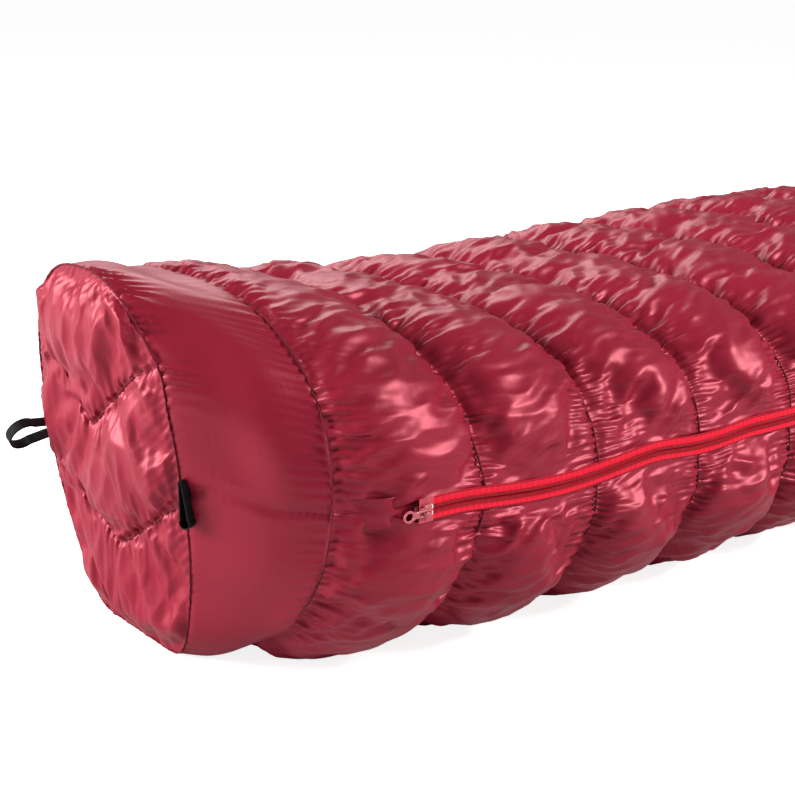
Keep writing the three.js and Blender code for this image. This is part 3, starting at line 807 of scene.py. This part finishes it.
# %% Threads of the V seams
def v_seam_thread(number, line):
    def place(v, angle):
        centre = np.stack([np.interp(v, np.linspace(0, 1, len(line)), line[:, k]) for k in range(3)], axis=-1)
        radius = (0.7 + 0.3 * np.sin(v * 2 * np.pi * 31) * np.sin(v * 2 * np.pi * 19)) * MM
        centre[:, 0] += 1.2 * MM
        centre[:, 0] += radius * np.cos(angle)
        centre[:, 2] += radius * np.sin(angle)
        return centre

    return tube(f"v_seam_{number}", 220, 6, place)

# %% [markdown]
# ### Inside the foot box
# Wadding and a lining follow the band and the panel at fixed depths. One cup-shaped net makes
# each layer, so that no seam has to be closed in the corner.

# %% Lining and filling of the foot box
def foot_layer(name, depth, thickness, behind):
    piece, u, v = new_grid(name, 90, 40)
    turn = u - 0.25
    along = np.clip(v / 0.6, 0, 1)
    shrink = 1 - np.clip((v - 0.6) / 0.4, 0, 1)
    points = band_point(turn, 1 - along * 0.93, depth + 0 * u)
    y, z = face_outline(turn, depth)
    plane = np.stack([face_x(z) + behind, y, z], axis=-1)
    middle = np.array([face_x(FACE_HALF_HEIGHT) + behind, MIDDLE_Y, FACE_HALF_HEIGHT])
    flat = middle + (plane - middle) * shrink[:, None]
    flat[:, 0] = face_x(flat[:, 2]) + behind
    points = np.where((v > 0.6)[:, None], flat, points)
    write_uv(piece, np.stack([turn, 0.2 * v], axis=-1))
    set_points(piece, above_ground(pinched(points)))
    weld(piece)
    face_outwards(piece, (SEAM_ONE_X, MIDDLE_Y, 0.16))
    thicken(piece, thickness)
    shade_smooth(piece)
    return piece


foot_filling = foot_layer("foot_filling", 9 * MM, 4 * MM, 6 * MM)
foot_lining = foot_layer("foot_lining", 14.2 * MM, 0.5 * MM, 12 * MM)

# %% [markdown]
# ## Cross seams
# Elastic runs in every cross seam and gathers the fabric. What shows of it is a thin line of
# thread at the bottom of the crease.

# %% Seam elastic
def seam_elastic(name, upper):
    rings = []
    for seam in range(CHAMBERS):
        station = seam * SEAM_PITCH

        def place(v, angle, station=station, seam=seam):
            s = np.full(len(v), station)
            turn = half_turns(upper, s, v)
            centre = quilt_point(s, turn, 0.6 * MM + 0 * s)
            centre = join_to_zip(centre, s, turn, upper, -0.6 * MM)
            uneven = np.sin(v * 2 * np.pi * 61 + seam) * np.sin(v * 2 * np.pi * 83)
            radius = (1.0 + 0.5 * uneven) * MM
            return cord_ring(centre, from_middle(centre, s), radius, angle)

        rings.append(tube(f"{name}_{seam + 1:02d}", 260, 6, place))
    return joined(name, rings)


def joined(name, parts):
    """One mesh from several, with their places kept."""
    whole = bmesh.new()
    for part in parts:
        whole.from_mesh(part.data)
        bpy.data.objects.remove(part)
    piece = link(bpy.data.objects.new(name, bpy.data.meshes.new(name)))
    whole.to_mesh(piece.data)
    whole.free()
    shade_smooth(piece)
    return piece


panel_threads = joined("panel_seam_threads", [v_seam_thread(n, line) for n, line in enumerate(v_seam_lines)])
upper_elastic = seam_elastic("upper_elastic", True)
lower_elastic = seam_elastic("lower_elastic", False)
print("seam elastic", len(upper_elastic.data.polygons) + len(lower_elastic.data.polygons), "faces")

# %% [markdown]
# ## The zip
# A coil zip is two woven tapes, each with a row of nylon coil sewn along its edge. One coil turn
# is modelled, an array repeats it, and the row is then laid along the zip's line.

# %% Tapes
ZIP_END = BAG_END - 4 * MM
CHAIN_START = ZIP_START + 12 * MM


def zip_tape(name, side):
    piece, u, v = new_grid(name, 4, 460)
    s = lerp(ZIP_START, ZIP_END, v)
    up = side * lerp(0.7 * MM, 9.6 * MM, u)
    points = zip_point(s, up, 0.9 * MM + 0 * s)
    write_uv(piece, np.stack([up, s], axis=-1))
    set_points(piece, points)
    face_outwards(piece, (0, MIDDLE_Y, 0.16))
    thicken(piece, 0.7 * MM)
    return piece


upper_tape = zip_tape("zip_tape_above", 1)
lower_tape = zip_tape("zip_tape_below", -1)

# %% [markdown]
# ### Repeating a small piece
# There are hundreds of coil turns and stitches. Copies placed one by one would be slow, so one
# bevelled block is repeated by an Array, and the row is bent to the zip's line.

# %% Repeated small pieces along the zip
def small_block(name, size, bevel, segments=1):
    """A rounded block in the zip's own frame: x along it, y inwards, z across the chain."""
    block = bmesh.new()
    bmesh.ops.create_cube(block, size=1)
    bmesh.ops.scale(block, vec=Vector(size), verts=block.verts)
    bmesh.ops.bevel(block, geom=block.edges[:], offset=bevel, offset_type="OFFSET",
                    segments=segments, profile=0.5, affect="EDGES", material=-1)
    piece = link(bpy.data.objects.new(name, bpy.data.meshes.new(name)))
    block.to_mesh(piece.data)
    block.free()
    return piece


def repeat_along_zip(piece, start, end, pitch, up, out, slant=0.0):
    repeat = piece.modifiers.new("Array", "ARRAY")
    repeat.count = int((end - start) / pitch)
    repeat.use_relative_offset = False
    repeat.use_constant_offset = True
    repeat.constant_offset_displace = (pitch, 0, 0)
    apply_modifiers(piece)
    local = points_of(piece.data)
    s = start + local[:, 0] + slant * local[:, 2]
    set_points(piece, zip_point(s, up + local[:, 2], out - local[:, 1]))
    shade_smooth(piece)

# %% [markdown]
# ### Coils and stitches
# The coil is one nylon thread wound in turns, 2 mm apart on a zip of this size. Each turn is a
# slanted block, offset by half a pitch on the other side, so that the rows mesh.

# %% Coils and stitches
COIL_PITCH = 2 * MM
COIL_TURN = (1.45 * MM, 2.0 * MM, 3.0 * MM)
COIL_ASIDE, COIL_OUT = 2.1 * MM, 1.9 * MM
STITCH_PITCH = 3.8 * MM
STITCH = (2.9 * MM, 0.7 * MM, 0.7 * MM)
STITCH_ASIDE, STITCH_OUT = 8.9 * MM, 1.0 * MM


def coil_row(name, side):
    turn = small_block(name, COIL_TURN, 0.6 * MM)
    start = CHAIN_START + (COIL_PITCH / 2 if side > 0 else 0)
    repeat_along_zip(turn, start, ZIP_END, COIL_PITCH, side * COIL_ASIDE, COIL_OUT, 0.22 * side)
    return turn


def stitch_row(name, side):
    stitch = small_block(name, STITCH, 0.2 * MM)
    repeat_along_zip(stitch, ZIP_START + 2 * MM, ZIP_END, STITCH_PITCH, side * STITCH_ASIDE, STITCH_OUT, 0.5)
    return stitch


upper_coil = coil_row("zip_coil_above", 1)
lower_coil = coil_row("zip_coil_below", -1)
upper_stitches = stitch_row("zip_stitches_above", 1)
lower_stitches = stitch_row("zip_stitches_below", -1)
print("coil", len(upper_coil.data.polygons), "faces in a row")

# %% [markdown]
# ### Stops and sealed end
# Two moulded stops keep the sliders on the chain, and a film welded over the tape end keeps it
# from fraying. Rounded blocks and a thin sheet are all that they need.

# %% End stops and the sealed tape end
def end_stop(name, side):
    stop = small_block(name, (4 * MM, 2.6 * MM, 3.4 * MM), 0.7 * MM, 3)
    local = points_of(stop.data)
    s = CHAIN_START - 2.5 * MM + local[:, 0]
    set_points(stop, zip_point(s, side * 2.5 * MM + local[:, 2], 2 * MM - local[:, 1]))
    shade_smooth(stop)
    return stop


upper_stop = end_stop("end_stop_above", 1)
lower_stop = end_stop("end_stop_below", -1)


def tape_film():
    piece, u, v = new_grid("tape_end_film", 10, 10)
    s = lerp(ZIP_START - 1 * MM, CHAIN_START + 1 * MM, v)
    up = lerp(-9.9 * MM, 9.9 * MM, u)
    out = 1.1 * MM + 0 * s
    set_points(piece, zip_point(s, up, out))
    write_uv(piece, np.stack([up, s], axis=-1))
    face_outwards(piece, (0, MIDDLE_Y, 0.16))
    thicken(piece, 0.25 * MM, 1)
    return piece


tape_end_film = tape_film()

# %% [markdown]
# ### Fabric pocket
# A pleat of shell fabric covers the end of the tapes, where the pull is parked. It is a rippled
# strip that starts in the chamber and dives behind the tape.

# %% Fabric pocket at the foot end of the zip
def garage_pocket():
    piece, u, v = new_grid("zip_pocket", 30, 40)
    s = lerp(2 * MM, ZIP_START + 6 * MM, v)
    up = lerp(-12 * MM, 12 * MM, u)
    ripple = folds(up, s, 0.009, 0.02, 6, 51) * 0.7 * MM
    points = zip_point(s, up, 0 * s)
    edge = quilt_point(s, turn_at_zip(s, up), -0.5 * CHAMBER_LOFT * chamber_arch(s) + 3 * MM)
    points[:, 1] = lerp(edge[:, 1], points[:, 1] + 9 * MM, smooth_step(s, 0.015, 0.04)) + ripple
    points[:, 0] = edge[:, 0]
    set_points(piece, points)
    write_uv(piece, np.stack([up, s], axis=-1))
    face_outwards(piece, (0, MIDDLE_Y, 0.16))
    thicken(piece, 0.5 * MM)
    shade_smooth(piece)
    return piece


zip_pocket = garage_pocket()

# %% [markdown]
# ## Sliders and pulls
# A slider is two shaped plates joined by a web in the groove, with rails that hold the coils
# and a bridge on top. The painted pull is a stamped plate: a window goes round the bridge, and
# the finger ring is at the free end.

# %% Slider body
ZIP_TURN = Vector((1, 0, 0)).rotation_difference(ZIP_ALONG).to_matrix().to_4x4()


def on_zip(s):
    return Matrix.Translation(Vector(zip_point(s).tolist())) @ ZIP_TURN


def shaped_plate(low, high, length, width):
    """A slider plate with a narrow nose, its faces between two depths."""
    plate = small_block("plate", (length, high - low, width), 0.45 * MM, 2)
    local = points_of(plate.data)
    nose = np.clip(-local[:, 0] / (length / 2), 0, 1)
    local[:, 2] *= 1 - 0.36 * nose ** 1.4
    local[:, 1] += (low + high) / 2
    set_points(plate, local)
    return plate


def moved_block(size, middle, bevel):
    block = small_block("block", size, bevel, 2)
    block.data.transform(Matrix.Translation(Vector(middle)))
    return block


def slider_body(name, s):
    parts = [shaped_plate(-5.0 * MM, -3.5 * MM, 12 * MM, 10 * MM)]
    parts.append(shaped_plate(0.9 * MM, 2.4 * MM, 12 * MM, 10 * MM))
    for side in (-1, 1):
        rail_at, post_at = (2.2 * MM, -3.1 * MM, side * 4.5 * MM), (side * 2.7 * MM, -6.4 * MM, 0)
        parts.append(moved_block((7 * MM, 1.4 * MM, 1 * MM), rail_at, 0.3 * MM))
        parts.append(moved_block((1.3 * MM, 2.9 * MM, 2.2 * MM), post_at, 0.4 * MM))
    parts.append(moved_block((6.6 * MM, 1.3 * MM, 2.2 * MM), (0, -8.1 * MM, 0), 0.5 * MM))
    parts.append(moved_block((4 * MM, 6 * MM, 0.7 * MM), (-3.4 * MM, -1.3 * MM, 0), 0.15 * MM))
    body = joined(name, parts)
    body.data.transform(on_zip(s))
    return body


foot_slider = slider_body("foot_slider_cast", FOOT_SLIDER_AT)
head_slider = slider_body("head_slider_cast", HEAD_SLIDER_AT)

# %% [markdown]
# ### Pull plate
# The pull is stamped from sheet metal. Three closed outlines on a filled 2D curve give the plate,
# its ring and its window, and the curve's own bevel rounds the edges.

# %% Pull plate
def closed_spline(curve, corners):
    spline = curve.splines.new("POLY")
    spline.points.add(len(corners) - 1)
    for point, corner in zip(spline.points, corners):
        point.co = (corner[0] * MM, corner[1] * MM, 0, 1)
    spline.use_cyclic_u = True


def arc(centre, radius, start, end, steps, stretch=1.0):
    angles = np.linspace(start, end, steps)
    return [(centre + radius * stretch * math.cos(a), radius * math.sin(a)) for a in angles]


def pull_plate(name, s):
    curve = bpy.data.curves.new(name, "CURVE")
    curve.dimensions = "2D"
    curve.fill_mode = "BOTH"
    head = arc(-17.2, 4.9, 0.75, 2 * math.pi - 0.75, 40, 1.12)
    closed_spline(curve, [(1.0, -2.6), (1.4, -2), (1.4, 2), (1.0, 2.6), (-1, 2.9), (-8, 2.7),
                          (-10.5, 2.5)] + head + [(-10.5, -2.5), (-8, -2.7), (-1, -2.9)])
    closed_spline(curve, arc(-17.4, 3.1, 0, 2 * math.pi * 31 / 32, 32, 1.2))
    closed_spline(curve, [(-0.9, -1.4), (-7.5, -1.4), (-8, -0.9), (-8, 0.9), (-7.5, 1.4), (-0.9, 1.4)])
    curve.extrude = 0.4 * MM
    curve.bevel_depth = 0.35 * MM
    curve.bevel_resolution = 2
    curve.offset = -0.3 * MM
    flat = bpy.data.objects.new(name, curve)
    link(flat)
    graph = bpy.context.evaluated_depsgraph_get()
    mesh = bpy.data.meshes.new_from_object(flat.evaluated_get(graph))
    bpy.data.objects.remove(flat)
    piece = link(bpy.data.objects.new(name, mesh))
    lay = Matrix.Translation((0, -6.3 * MM, 0)) @ Matrix.Rotation(math.pi / 2, 4, "X")
    mesh.transform(on_zip(s) @ lay)
    shade_smooth(piece)
    return piece


foot_pull = pull_plate("foot_pull_plate", FOOT_SLIDER_AT)
head_pull = pull_plate("head_pull_plate", HEAD_SLIDER_AT)
print("pull", len(foot_pull.data.polygons), "faces")

# %% [markdown]
# ## Hanging loops
# Two loops of black grosgrain tape are sewn into the panel's seam. Each is one strip, bent to a
# teardrop with its two ends together in the seam.

# %% Webbing loop
LOOP_LENGTH = 38 * MM
WEBBING_WIDTH = 10 * MM
EYE_OPENING = 0.95


def webbing_loop(name, joint, axes, root, eye_radius, spread):
    """A strip bent to a drop: it runs along the first axis, opens along the second, and its
    width lies along the third. Spread is half the distance between its two sewn ends."""
    piece, u, v = new_grid(name, 6, 96)
    reach = LOOP_LENGTH - eye_radius - 1.5 * MM
    angle = lerp(EYE_OPENING, 2 * np.pi - EYE_OPENING, np.clip((v - 0.2) / 0.6, 0, 1))
    path_x = reach - eye_radius * np.cos(angle)
    path_z = eye_radius * np.sin(angle)
    lead = np.clip(np.minimum(v, 1 - v) / 0.2, 0, 1)
    start_x = reach - eye_radius * math.cos(EYE_OPENING)
    start_z = eye_radius * math.sin(EYE_OPENING)
    side = np.where(v < 0.5, 1, -1)
    path_x = np.where(lead < 1, lerp(-3 * MM, start_x, lead), path_x)
    path_z = np.where(lead < 1, side * lerp(spread, start_z, lead), path_z)
    along, across, wide = (np.array(axis, dtype=float) for axis in axes)
    centre = np.array(joints[joint]["pos_m"]) + np.array(root)
    points = centre + path_x[:, None] * along + path_z[:, None] * across
    points += ((u - 0.5) * WEBBING_WIDTH)[:, None] * wide
    write_uv(piece, np.stack([u * WEBBING_WIDTH, v * 0.09], axis=-1))
    set_points(piece, points)
    thicken(piece, 1 * MM, 0)
    shade_smooth(piece)
    return piece


far_loop = webbing_loop("far_loop_webbing", "far_loop_swing",
                        ((-1, 0, -0.05), (0, -0.5, 0.87), (0, 0.87, 0.5)),
                        (0, -5 * MM, 3 * MM), 13 * MM, 7 * MM)
near_loop = webbing_loop("near_loop_webbing", "near_loop_swing",
                         ((0.1, 0, -1), (-0.44, 0.9, 0), (0.9, 0.44, 0)),
                         (10 * MM, -9 * MM, 10 * MM), 4.5 * MM, 1 * MM)
print("loops", len(far_loop.data.polygons), "faces each")

# %% [markdown]
# ## Bodies
# Each piece below the zip rides on the body of the model that it belongs to. On the bag, fabric
# above the zip is still at the foot and turns fully with the cover from the eighth seam on; here it is baked
# in place and rides on no body.


def settle(piece, nodes, body="bag"):
    if body == "upper":
        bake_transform(piece)
    else:
        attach(piece, body)
    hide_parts(*nodes)


def seams(prefix, first, last):
    return [f"{prefix}elastic_seam_{number:02d}" for number in range(first, last + 1)]


settle(upper_quilt, ["upper_foot_quilt_shell", "cover_quilt_shell"], "upper")
settle(lower_quilt, ["lower_quilt_shell"], "bag")
settle(upper_filling,
       ["upper_foot_quilt_insulation", "cover_quilt_insulation"], "upper")
settle(lower_filling, ["lower_quilt_insulation"], "bag")
settle(upper_lining, ["upper_foot_quilt_lining", "cover_quilt_lining"], "upper")
settle(lower_lining, ["lower_quilt_lining"], "bag")
settle(upper_binding, ["cover_mouth_binding"], "cover")
settle(lower_binding, ["lower_mouth_binding"])
settle(draught_tube, ["foot_draught_tube", "cover_draught_tube"], "upper")
settle(foot_band_upper, ["foot_band_upper_shell"], "bag")
settle(foot_band_lower, ["foot_band_lower_shell"], "bag")
settle(foot_panel, ["foot_panel_shell"], "bag")
settle(panel_piping, ["foot_panel_piping"])
settle(panel_threads, [])
settle(foot_filling, ["foot_panel_insulation", "foot_band_insulation"], "bag")
settle(foot_lining, ["foot_panel_lining", "foot_band_lining"], "bag")
settle(upper_elastic, seams("cover_", 9, 15), "upper")
settle(lower_elastic, seams("lower_", 9, 15) + seams("", 1, 8))
settle(upper_tape, ["upper_foot_zip_tape", "cover_zip_tape"], "upper")
settle(lower_tape, ["lower_zip_tape"])
settle(upper_coil, ["upper_foot_zip_coil", "cover_zip_coil"], "upper")
settle(lower_coil, ["lower_zip_coil"])
settle(upper_stitches, [], "upper")
settle(lower_stitches, [])
settle(upper_stop, ["upper_zip_end_stop"])
settle(lower_stop, ["lower_zip_end_stop"])
settle(tape_end_film, [])
settle(zip_pocket, ["zip_garage"])
settle(foot_slider, ["foot_slider_body"], "foot_slider")
settle(head_slider, ["head_slider_body"], "head_slider")
settle(foot_pull, ["foot_slider_pull"], "foot_pull")
settle(head_pull, ["head_slider_pull"], "head_pull")
settle(near_loop, ["near_hanging_loop"], "near_loop")
settle(far_loop, ["far_hanging_loop"], "far_loop")

# %% [markdown]
# ## Materials
# Every finish is built from shader nodes. Patterns on fabric are scaled in metres through the
# UV map that was kept with it, and small parts read Object coordinates.

# %% Node helpers
def linear(code):
    """An sRGB hex colour as linear red, green, blue and alpha."""
    channels = [int(code[i:i + 2], 16) / 255 for i in (1, 3, 5)]
    return [c / 12.92 if c <= 0.04045 else ((c + 0.055) / 1.055) ** 2.4 for c in channels] + [1]


def new_material(name):
    material = bpy.data.materials.new(name)
    material.use_nodes = True
    return material, material.node_tree.nodes["Principled BSDF"]


def add_node(material, kind, inputs, **settings):
    """Adds one node: inputs are plain values or the output sockets that feed them."""
    node = material.node_tree.nodes.new(kind)
    for name, value in settings.items():
        setattr(node, name, value)
    for name, value in inputs.items():
        if isinstance(value, bpy.types.NodeSocket):
            material.node_tree.links.new(value, node.inputs[name])
        else:
            node.inputs[name].default_value = value
    return node


def feed(material, output, socket):
    material.node_tree.links.new(output, socket)


def object_place(material):
    return add_node(material, "ShaderNodeTexCoord", {}).outputs["Object"]


def mottled(material, shader, place, grain, light, dark, detail=3.0):
    """Gives the shader a cloudy mix of two colours, and hands back the cloud."""
    cloud = add_node(material, "ShaderNodeTexNoise", {"Vector": place, "Scale": 1 / grain,
                                                      "Detail": detail})
    tone = add_node(material, "ShaderNodeMix", {"Factor": cloud.outputs["Fac"], "A": linear(light),
                                                "B": linear(dark)}, data_type="RGBA")
    feed(material, tone.outputs["Result"], shader.inputs["Base Color"])
    return cloud


def dress(material, *pieces):
    for piece in pieces:
        piece.data.materials.clear()
        piece.data.materials.append(material)

# %% [markdown]
# ### Satin nylon shell
# Crimson 50-denier nylon in a satin weave. Its long dyed floats lie side by side and shine in
# their own colour, so a little of the metallic lobe stands for that lustre. The threads are
# 0.25 mm apart, too fine to show, so the weave is drawn at 1.2 mm, with faint 16 mm creases.

# %% Satin nylon
def woven_nylon(name, light, dark, roughness, sheen, crease, weave, lustre):
    material, shader = new_material(name)
    place = object_place(material)
    mottled(material, shader, place, 70 * MM, light, dark)
    wrinkle = add_node(material, "ShaderNodeTexNoise", {"Vector": place, "Scale": 1 / (16 * MM),
                                                        "Detail": 3.0, "Distortion": 0.6})
    fabric = add_node(material, "ShaderNodeUVMap", {}, uv_map="fabric").outputs["UV"]
    threads = add_node(material, "ShaderNodeTexWave", {"Vector": fabric, "Scale": 1 / (1.2 * MM) / 20,
                                                       "Distortion": 0.4}, bands_direction="Y")
    soft = add_node(material, "ShaderNodeBump", {"Height": wrinkle.outputs["Fac"], "Strength": crease,
                                                 "Distance": 3 * MM})
    fine = add_node(material, "ShaderNodeBump", {"Height": threads.outputs["Fac"], "Strength": weave,
                                                 "Distance": 0.1 * MM, "Normal": soft.outputs["Normal"]})
    feed(material, fine.outputs["Normal"], shader.inputs["Normal"])
    shader.inputs["Roughness"].default_value = roughness
    shader.inputs["Metallic"].default_value = lustre
    shader.inputs["Specular IOR Level"].default_value = 0.4
    shader.inputs["Sheen Weight"].default_value = sheen
    shader.inputs["Sheen Roughness"].default_value = 0.35
    shader.inputs["Sheen Tint"].default_value = linear("#ff9aa8")
    shader.inputs["IOR"].default_value = 1.47
    return material


satin_nylon = woven_nylon("satin_nylon", "#a21c36", "#8a132c", 0.43, 0.02, 0.06, 0.3, 0.22)
dress(satin_nylon, upper_quilt, lower_quilt, foot_band_upper, foot_band_lower, foot_panel, zip_pocket)
lining_nylon = woven_nylon("lining_nylon", "#8c1f32", "#7c182a", 0.5, 0.03, 0.06, 0.2, 0.1)
dress(lining_nylon, upper_lining, lower_lining, foot_lining, upper_binding, lower_binding, draught_tube)

# %% [markdown]
# ### Filling, tape, coil, paint and webbing

# %% Hollow-fibre wadding
def wadding():
    material, shader = new_material("hollow_fibre_wadding")
    tufts = mottled(material, shader, object_place(material), 6 * MM, "#f2efe9", "#d8d4cb", 6.0)
    fluff = add_node(material, "ShaderNodeBump", {"Height": tufts.outputs["Fac"], "Strength": 0.6,
                                                  "Distance": 2 * MM})
    feed(material, fluff.outputs["Normal"], shader.inputs["Normal"])
    shader.inputs["Roughness"].default_value = 0.95
    shader.inputs["Sheen Weight"].default_value = 0.4
    return material


dress(wadding(), upper_filling, lower_filling, foot_filling)

# %% [markdown]
# ### Zip tape and grosgrain
# Both are narrow woven fabrics with ribs across them. A wave texture along the UV map gives ribs
# that stay square to the tape however it bends.

# %% Woven zip tape and grosgrain
def ribbed_tape(name, light, dark, rib, direction, roughness):
    """A woven narrow fabric whose ribs are drawn at their real spacing, or just above it."""
    material, shader = new_material(name)
    fabric = add_node(material, "ShaderNodeUVMap", {}, uv_map="fabric").outputs["UV"]
    ribs = add_node(material, "ShaderNodeTexWave", {"Vector": fabric, "Scale": 1 / rib / 20},
                    bands_direction=direction)
    cloud = add_node(material, "ShaderNodeTexNoise", {"Vector": fabric, "Scale": 1 / (3 * MM),
                                                      "Detail": 4.0})
    mixed = add_node(material, "ShaderNodeMath", {0: ribs.outputs["Fac"], 1: cloud.outputs["Fac"]},
                     operation="MULTIPLY")
    tone = add_node(material, "ShaderNodeMix", {"Factor": mixed.outputs["Value"], "A": linear(dark),
                                                "B": linear(light)}, data_type="RGBA")
    bump = add_node(material, "ShaderNodeBump", {"Height": ribs.outputs["Fac"], "Strength": 0.5,
                                                 "Distance": 0.2 * MM})
    feed(material, tone.outputs["Result"], shader.inputs["Base Color"])
    feed(material, bump.outputs["Normal"], shader.inputs["Normal"])
    shader.inputs["Roughness"].default_value = roughness
    shader.inputs["Specular IOR Level"].default_value = 0.25
    return material


zip_tape_cloth = ribbed_tape("polyester_zip_tape", "#f8203e", "#de1430", 1 * MM, "Y", 0.75)
dress(zip_tape_cloth, upper_tape, lower_tape)
grosgrain = ribbed_tape("grosgrain_webbing", "#161417", "#060506", 1.1 * MM, "Y", 0.8)
dress(grosgrain, far_loop, near_loop)

# %% [markdown]
# ### Plastics, paint and thread
# The coil, stops, film, paint and thread have no weave to show. One function makes them all: a
# faint mottle, a fine bump, and the gloss of the real finish.

# %% Smooth plastics and paint
def moulded(name, light, dark, roughness, grain, bump_strength=0.1, coat=0.0):
    material, shader = new_material(name)
    speck = mottled(material, shader, object_place(material), grain, light, dark)
    bump = add_node(material, "ShaderNodeBump", {"Height": speck.outputs["Fac"], "Strength": bump_strength,
                                                 "Distance": 0.2 * MM})
    feed(material, bump.outputs["Normal"], shader.inputs["Normal"])
    shader.inputs["Roughness"].default_value = roughness
    shader.inputs["Coat Weight"].default_value = coat
    return material


coil_nylon = moulded("nylon_coil", "#c81830", "#a81024", 0.45, 4 * MM)
dress(coil_nylon, upper_coil, lower_coil)
dress(moulded("painted_zinc", "#c65a66", "#b44654", 0.32, 3 * MM, 0.15, 0.3),
      foot_slider, head_slider, foot_pull, head_pull)
dress(moulded("white_acetal", "#f6f3f2", "#e6e0de", 0.4, 2 * MM), upper_stop, lower_stop)
dress(moulded("sealing_film", "#cc4658", "#b83448", 0.35, 3 * MM), tape_end_film)
dress(moulded("polyester_thread", "#7c1026", "#5e0a1a", 0.95, 1.5 * MM, 0.5),
      upper_elastic, lower_elastic, panel_piping, panel_threads, upper_stitches, lower_stitches)

# %% [markdown]
# ## Ground, light and camera
# The bag lies on a plain white floor in a white room. The floor and the room look brighter to the
# viewer than they shine on the bag: a white cyclorama would wash the folds out otherwise.

# %% Floor
def studio_floor():
    floor, u, v = new_grid("studio_floor", 8, 8)
    set_points(floor, np.stack([(u - 0.5) * 30, (v - 0.5) * 30, 0 * u - 0.2 * MM], axis=-1))
    material, shader = new_material("white_floor")
    mottled(material, shader, object_place(material), 0.5, "#d6d6d6", "#d2d2d2", 2.0)
    seen = add_node(material, "ShaderNodeLightPath", {}).outputs["Is Camera Ray"]
    glow = add_node(material, "ShaderNodeMapRange", {"Value": seen, "To Max": 0.85})
    feed(material, glow.outputs["Result"], shader.inputs["Emission Strength"])
    shader.inputs["Emission Color"].default_value = (1, 1, 1, 1)
    shader.inputs["Roughness"].default_value = 0.9
    dress(material, floor)


studio_floor()

# %% [markdown]
# ### World and lights
# A white room fills the shadows a little. The foot softbox lights the panel, the front one rakes
# the near side so that folds read, and the back one gives the top its sheen.

# %% World and lights
def area_light(name, place, target, size, power):
    light = bpy.data.lights.new(name, "AREA")
    light.shape = "RECTANGLE"
    light.size, light.size_y = size
    light.energy = power
    lamp = link(bpy.data.objects.new(name, light))
    lamp.location = place
    lamp.rotation_euler = (Vector(target) - Vector(place)).to_track_quat("-Z", "Y").to_euler()


world = bpy.data.worlds.new("white_room")
world.use_nodes = True
world.node_tree.nodes["Background"].inputs["Color"].default_value = (1, 1, 1, 1)
seen = world.node_tree.nodes.new("ShaderNodeLightPath").outputs["Is Camera Ray"]
strength = world.node_tree.nodes.new("ShaderNodeMapRange")
strength.inputs["To Min"].default_value = 0.18
world.node_tree.links.new(seen, strength.inputs["Value"])
world.node_tree.links.new(strength.outputs["Result"], world.node_tree.nodes["Background"].inputs["Strength"])
bpy.context.scene.world = world
bpy.context.scene.view_settings.view_transform = "Standard"
LIGHTS = [("foot_softbox", (-3.0, 1.3, 1.1), (-0.95, 0, 0.15), (1.3, 1.3), 125),
          ("back_softbox", (0.5, 2.6, 1.9), (-0.7, 0, 0.3), (2.0, 1.0), 36),
          ("front_softbox", (0.9, -2.2, 2.1), (-0.4, -0.1, 0.15), (0.9, 0.9), 112)]
for light_row in LIGHTS:
    area_light(*light_row)
print("lights", len(LIGHTS))

# %% [markdown]
# ### Camera
# The camera stands beyond the foot, above the bag and to its near side, with a long lens. Its
# place is given from the first cross seam, so that it follows the bag.

# %% Camera
CAMERA_FROM_SEAM_ONE = Vector((-0.6558, -1.0873, 0.5771))
CAMERA_LOOK = Vector((0.6070, 0.7428, -0.2824))
CAMERA_ROLL = 0.0187
CAMERA_LENS = 69.92
camera = bpy.data.cameras.new("camera")
camera.lens = CAMERA_LENS
camera.sensor_width = 36
viewer = link(bpy.data.objects.new("camera", camera))
level = CAMERA_LOOK.to_track_quat("-Z", "Y").to_matrix().to_4x4()
rolled = level @ Matrix.Rotation(CAMERA_ROLL, 4, "Z")
viewer.matrix_world = Matrix.Translation(CAMERA_FROM_SEAM_ONE + Vector((SEAM_ONE_X, MIDDLE_Y, 0))) @ rolled
bpy.context.scene.camera = viewer
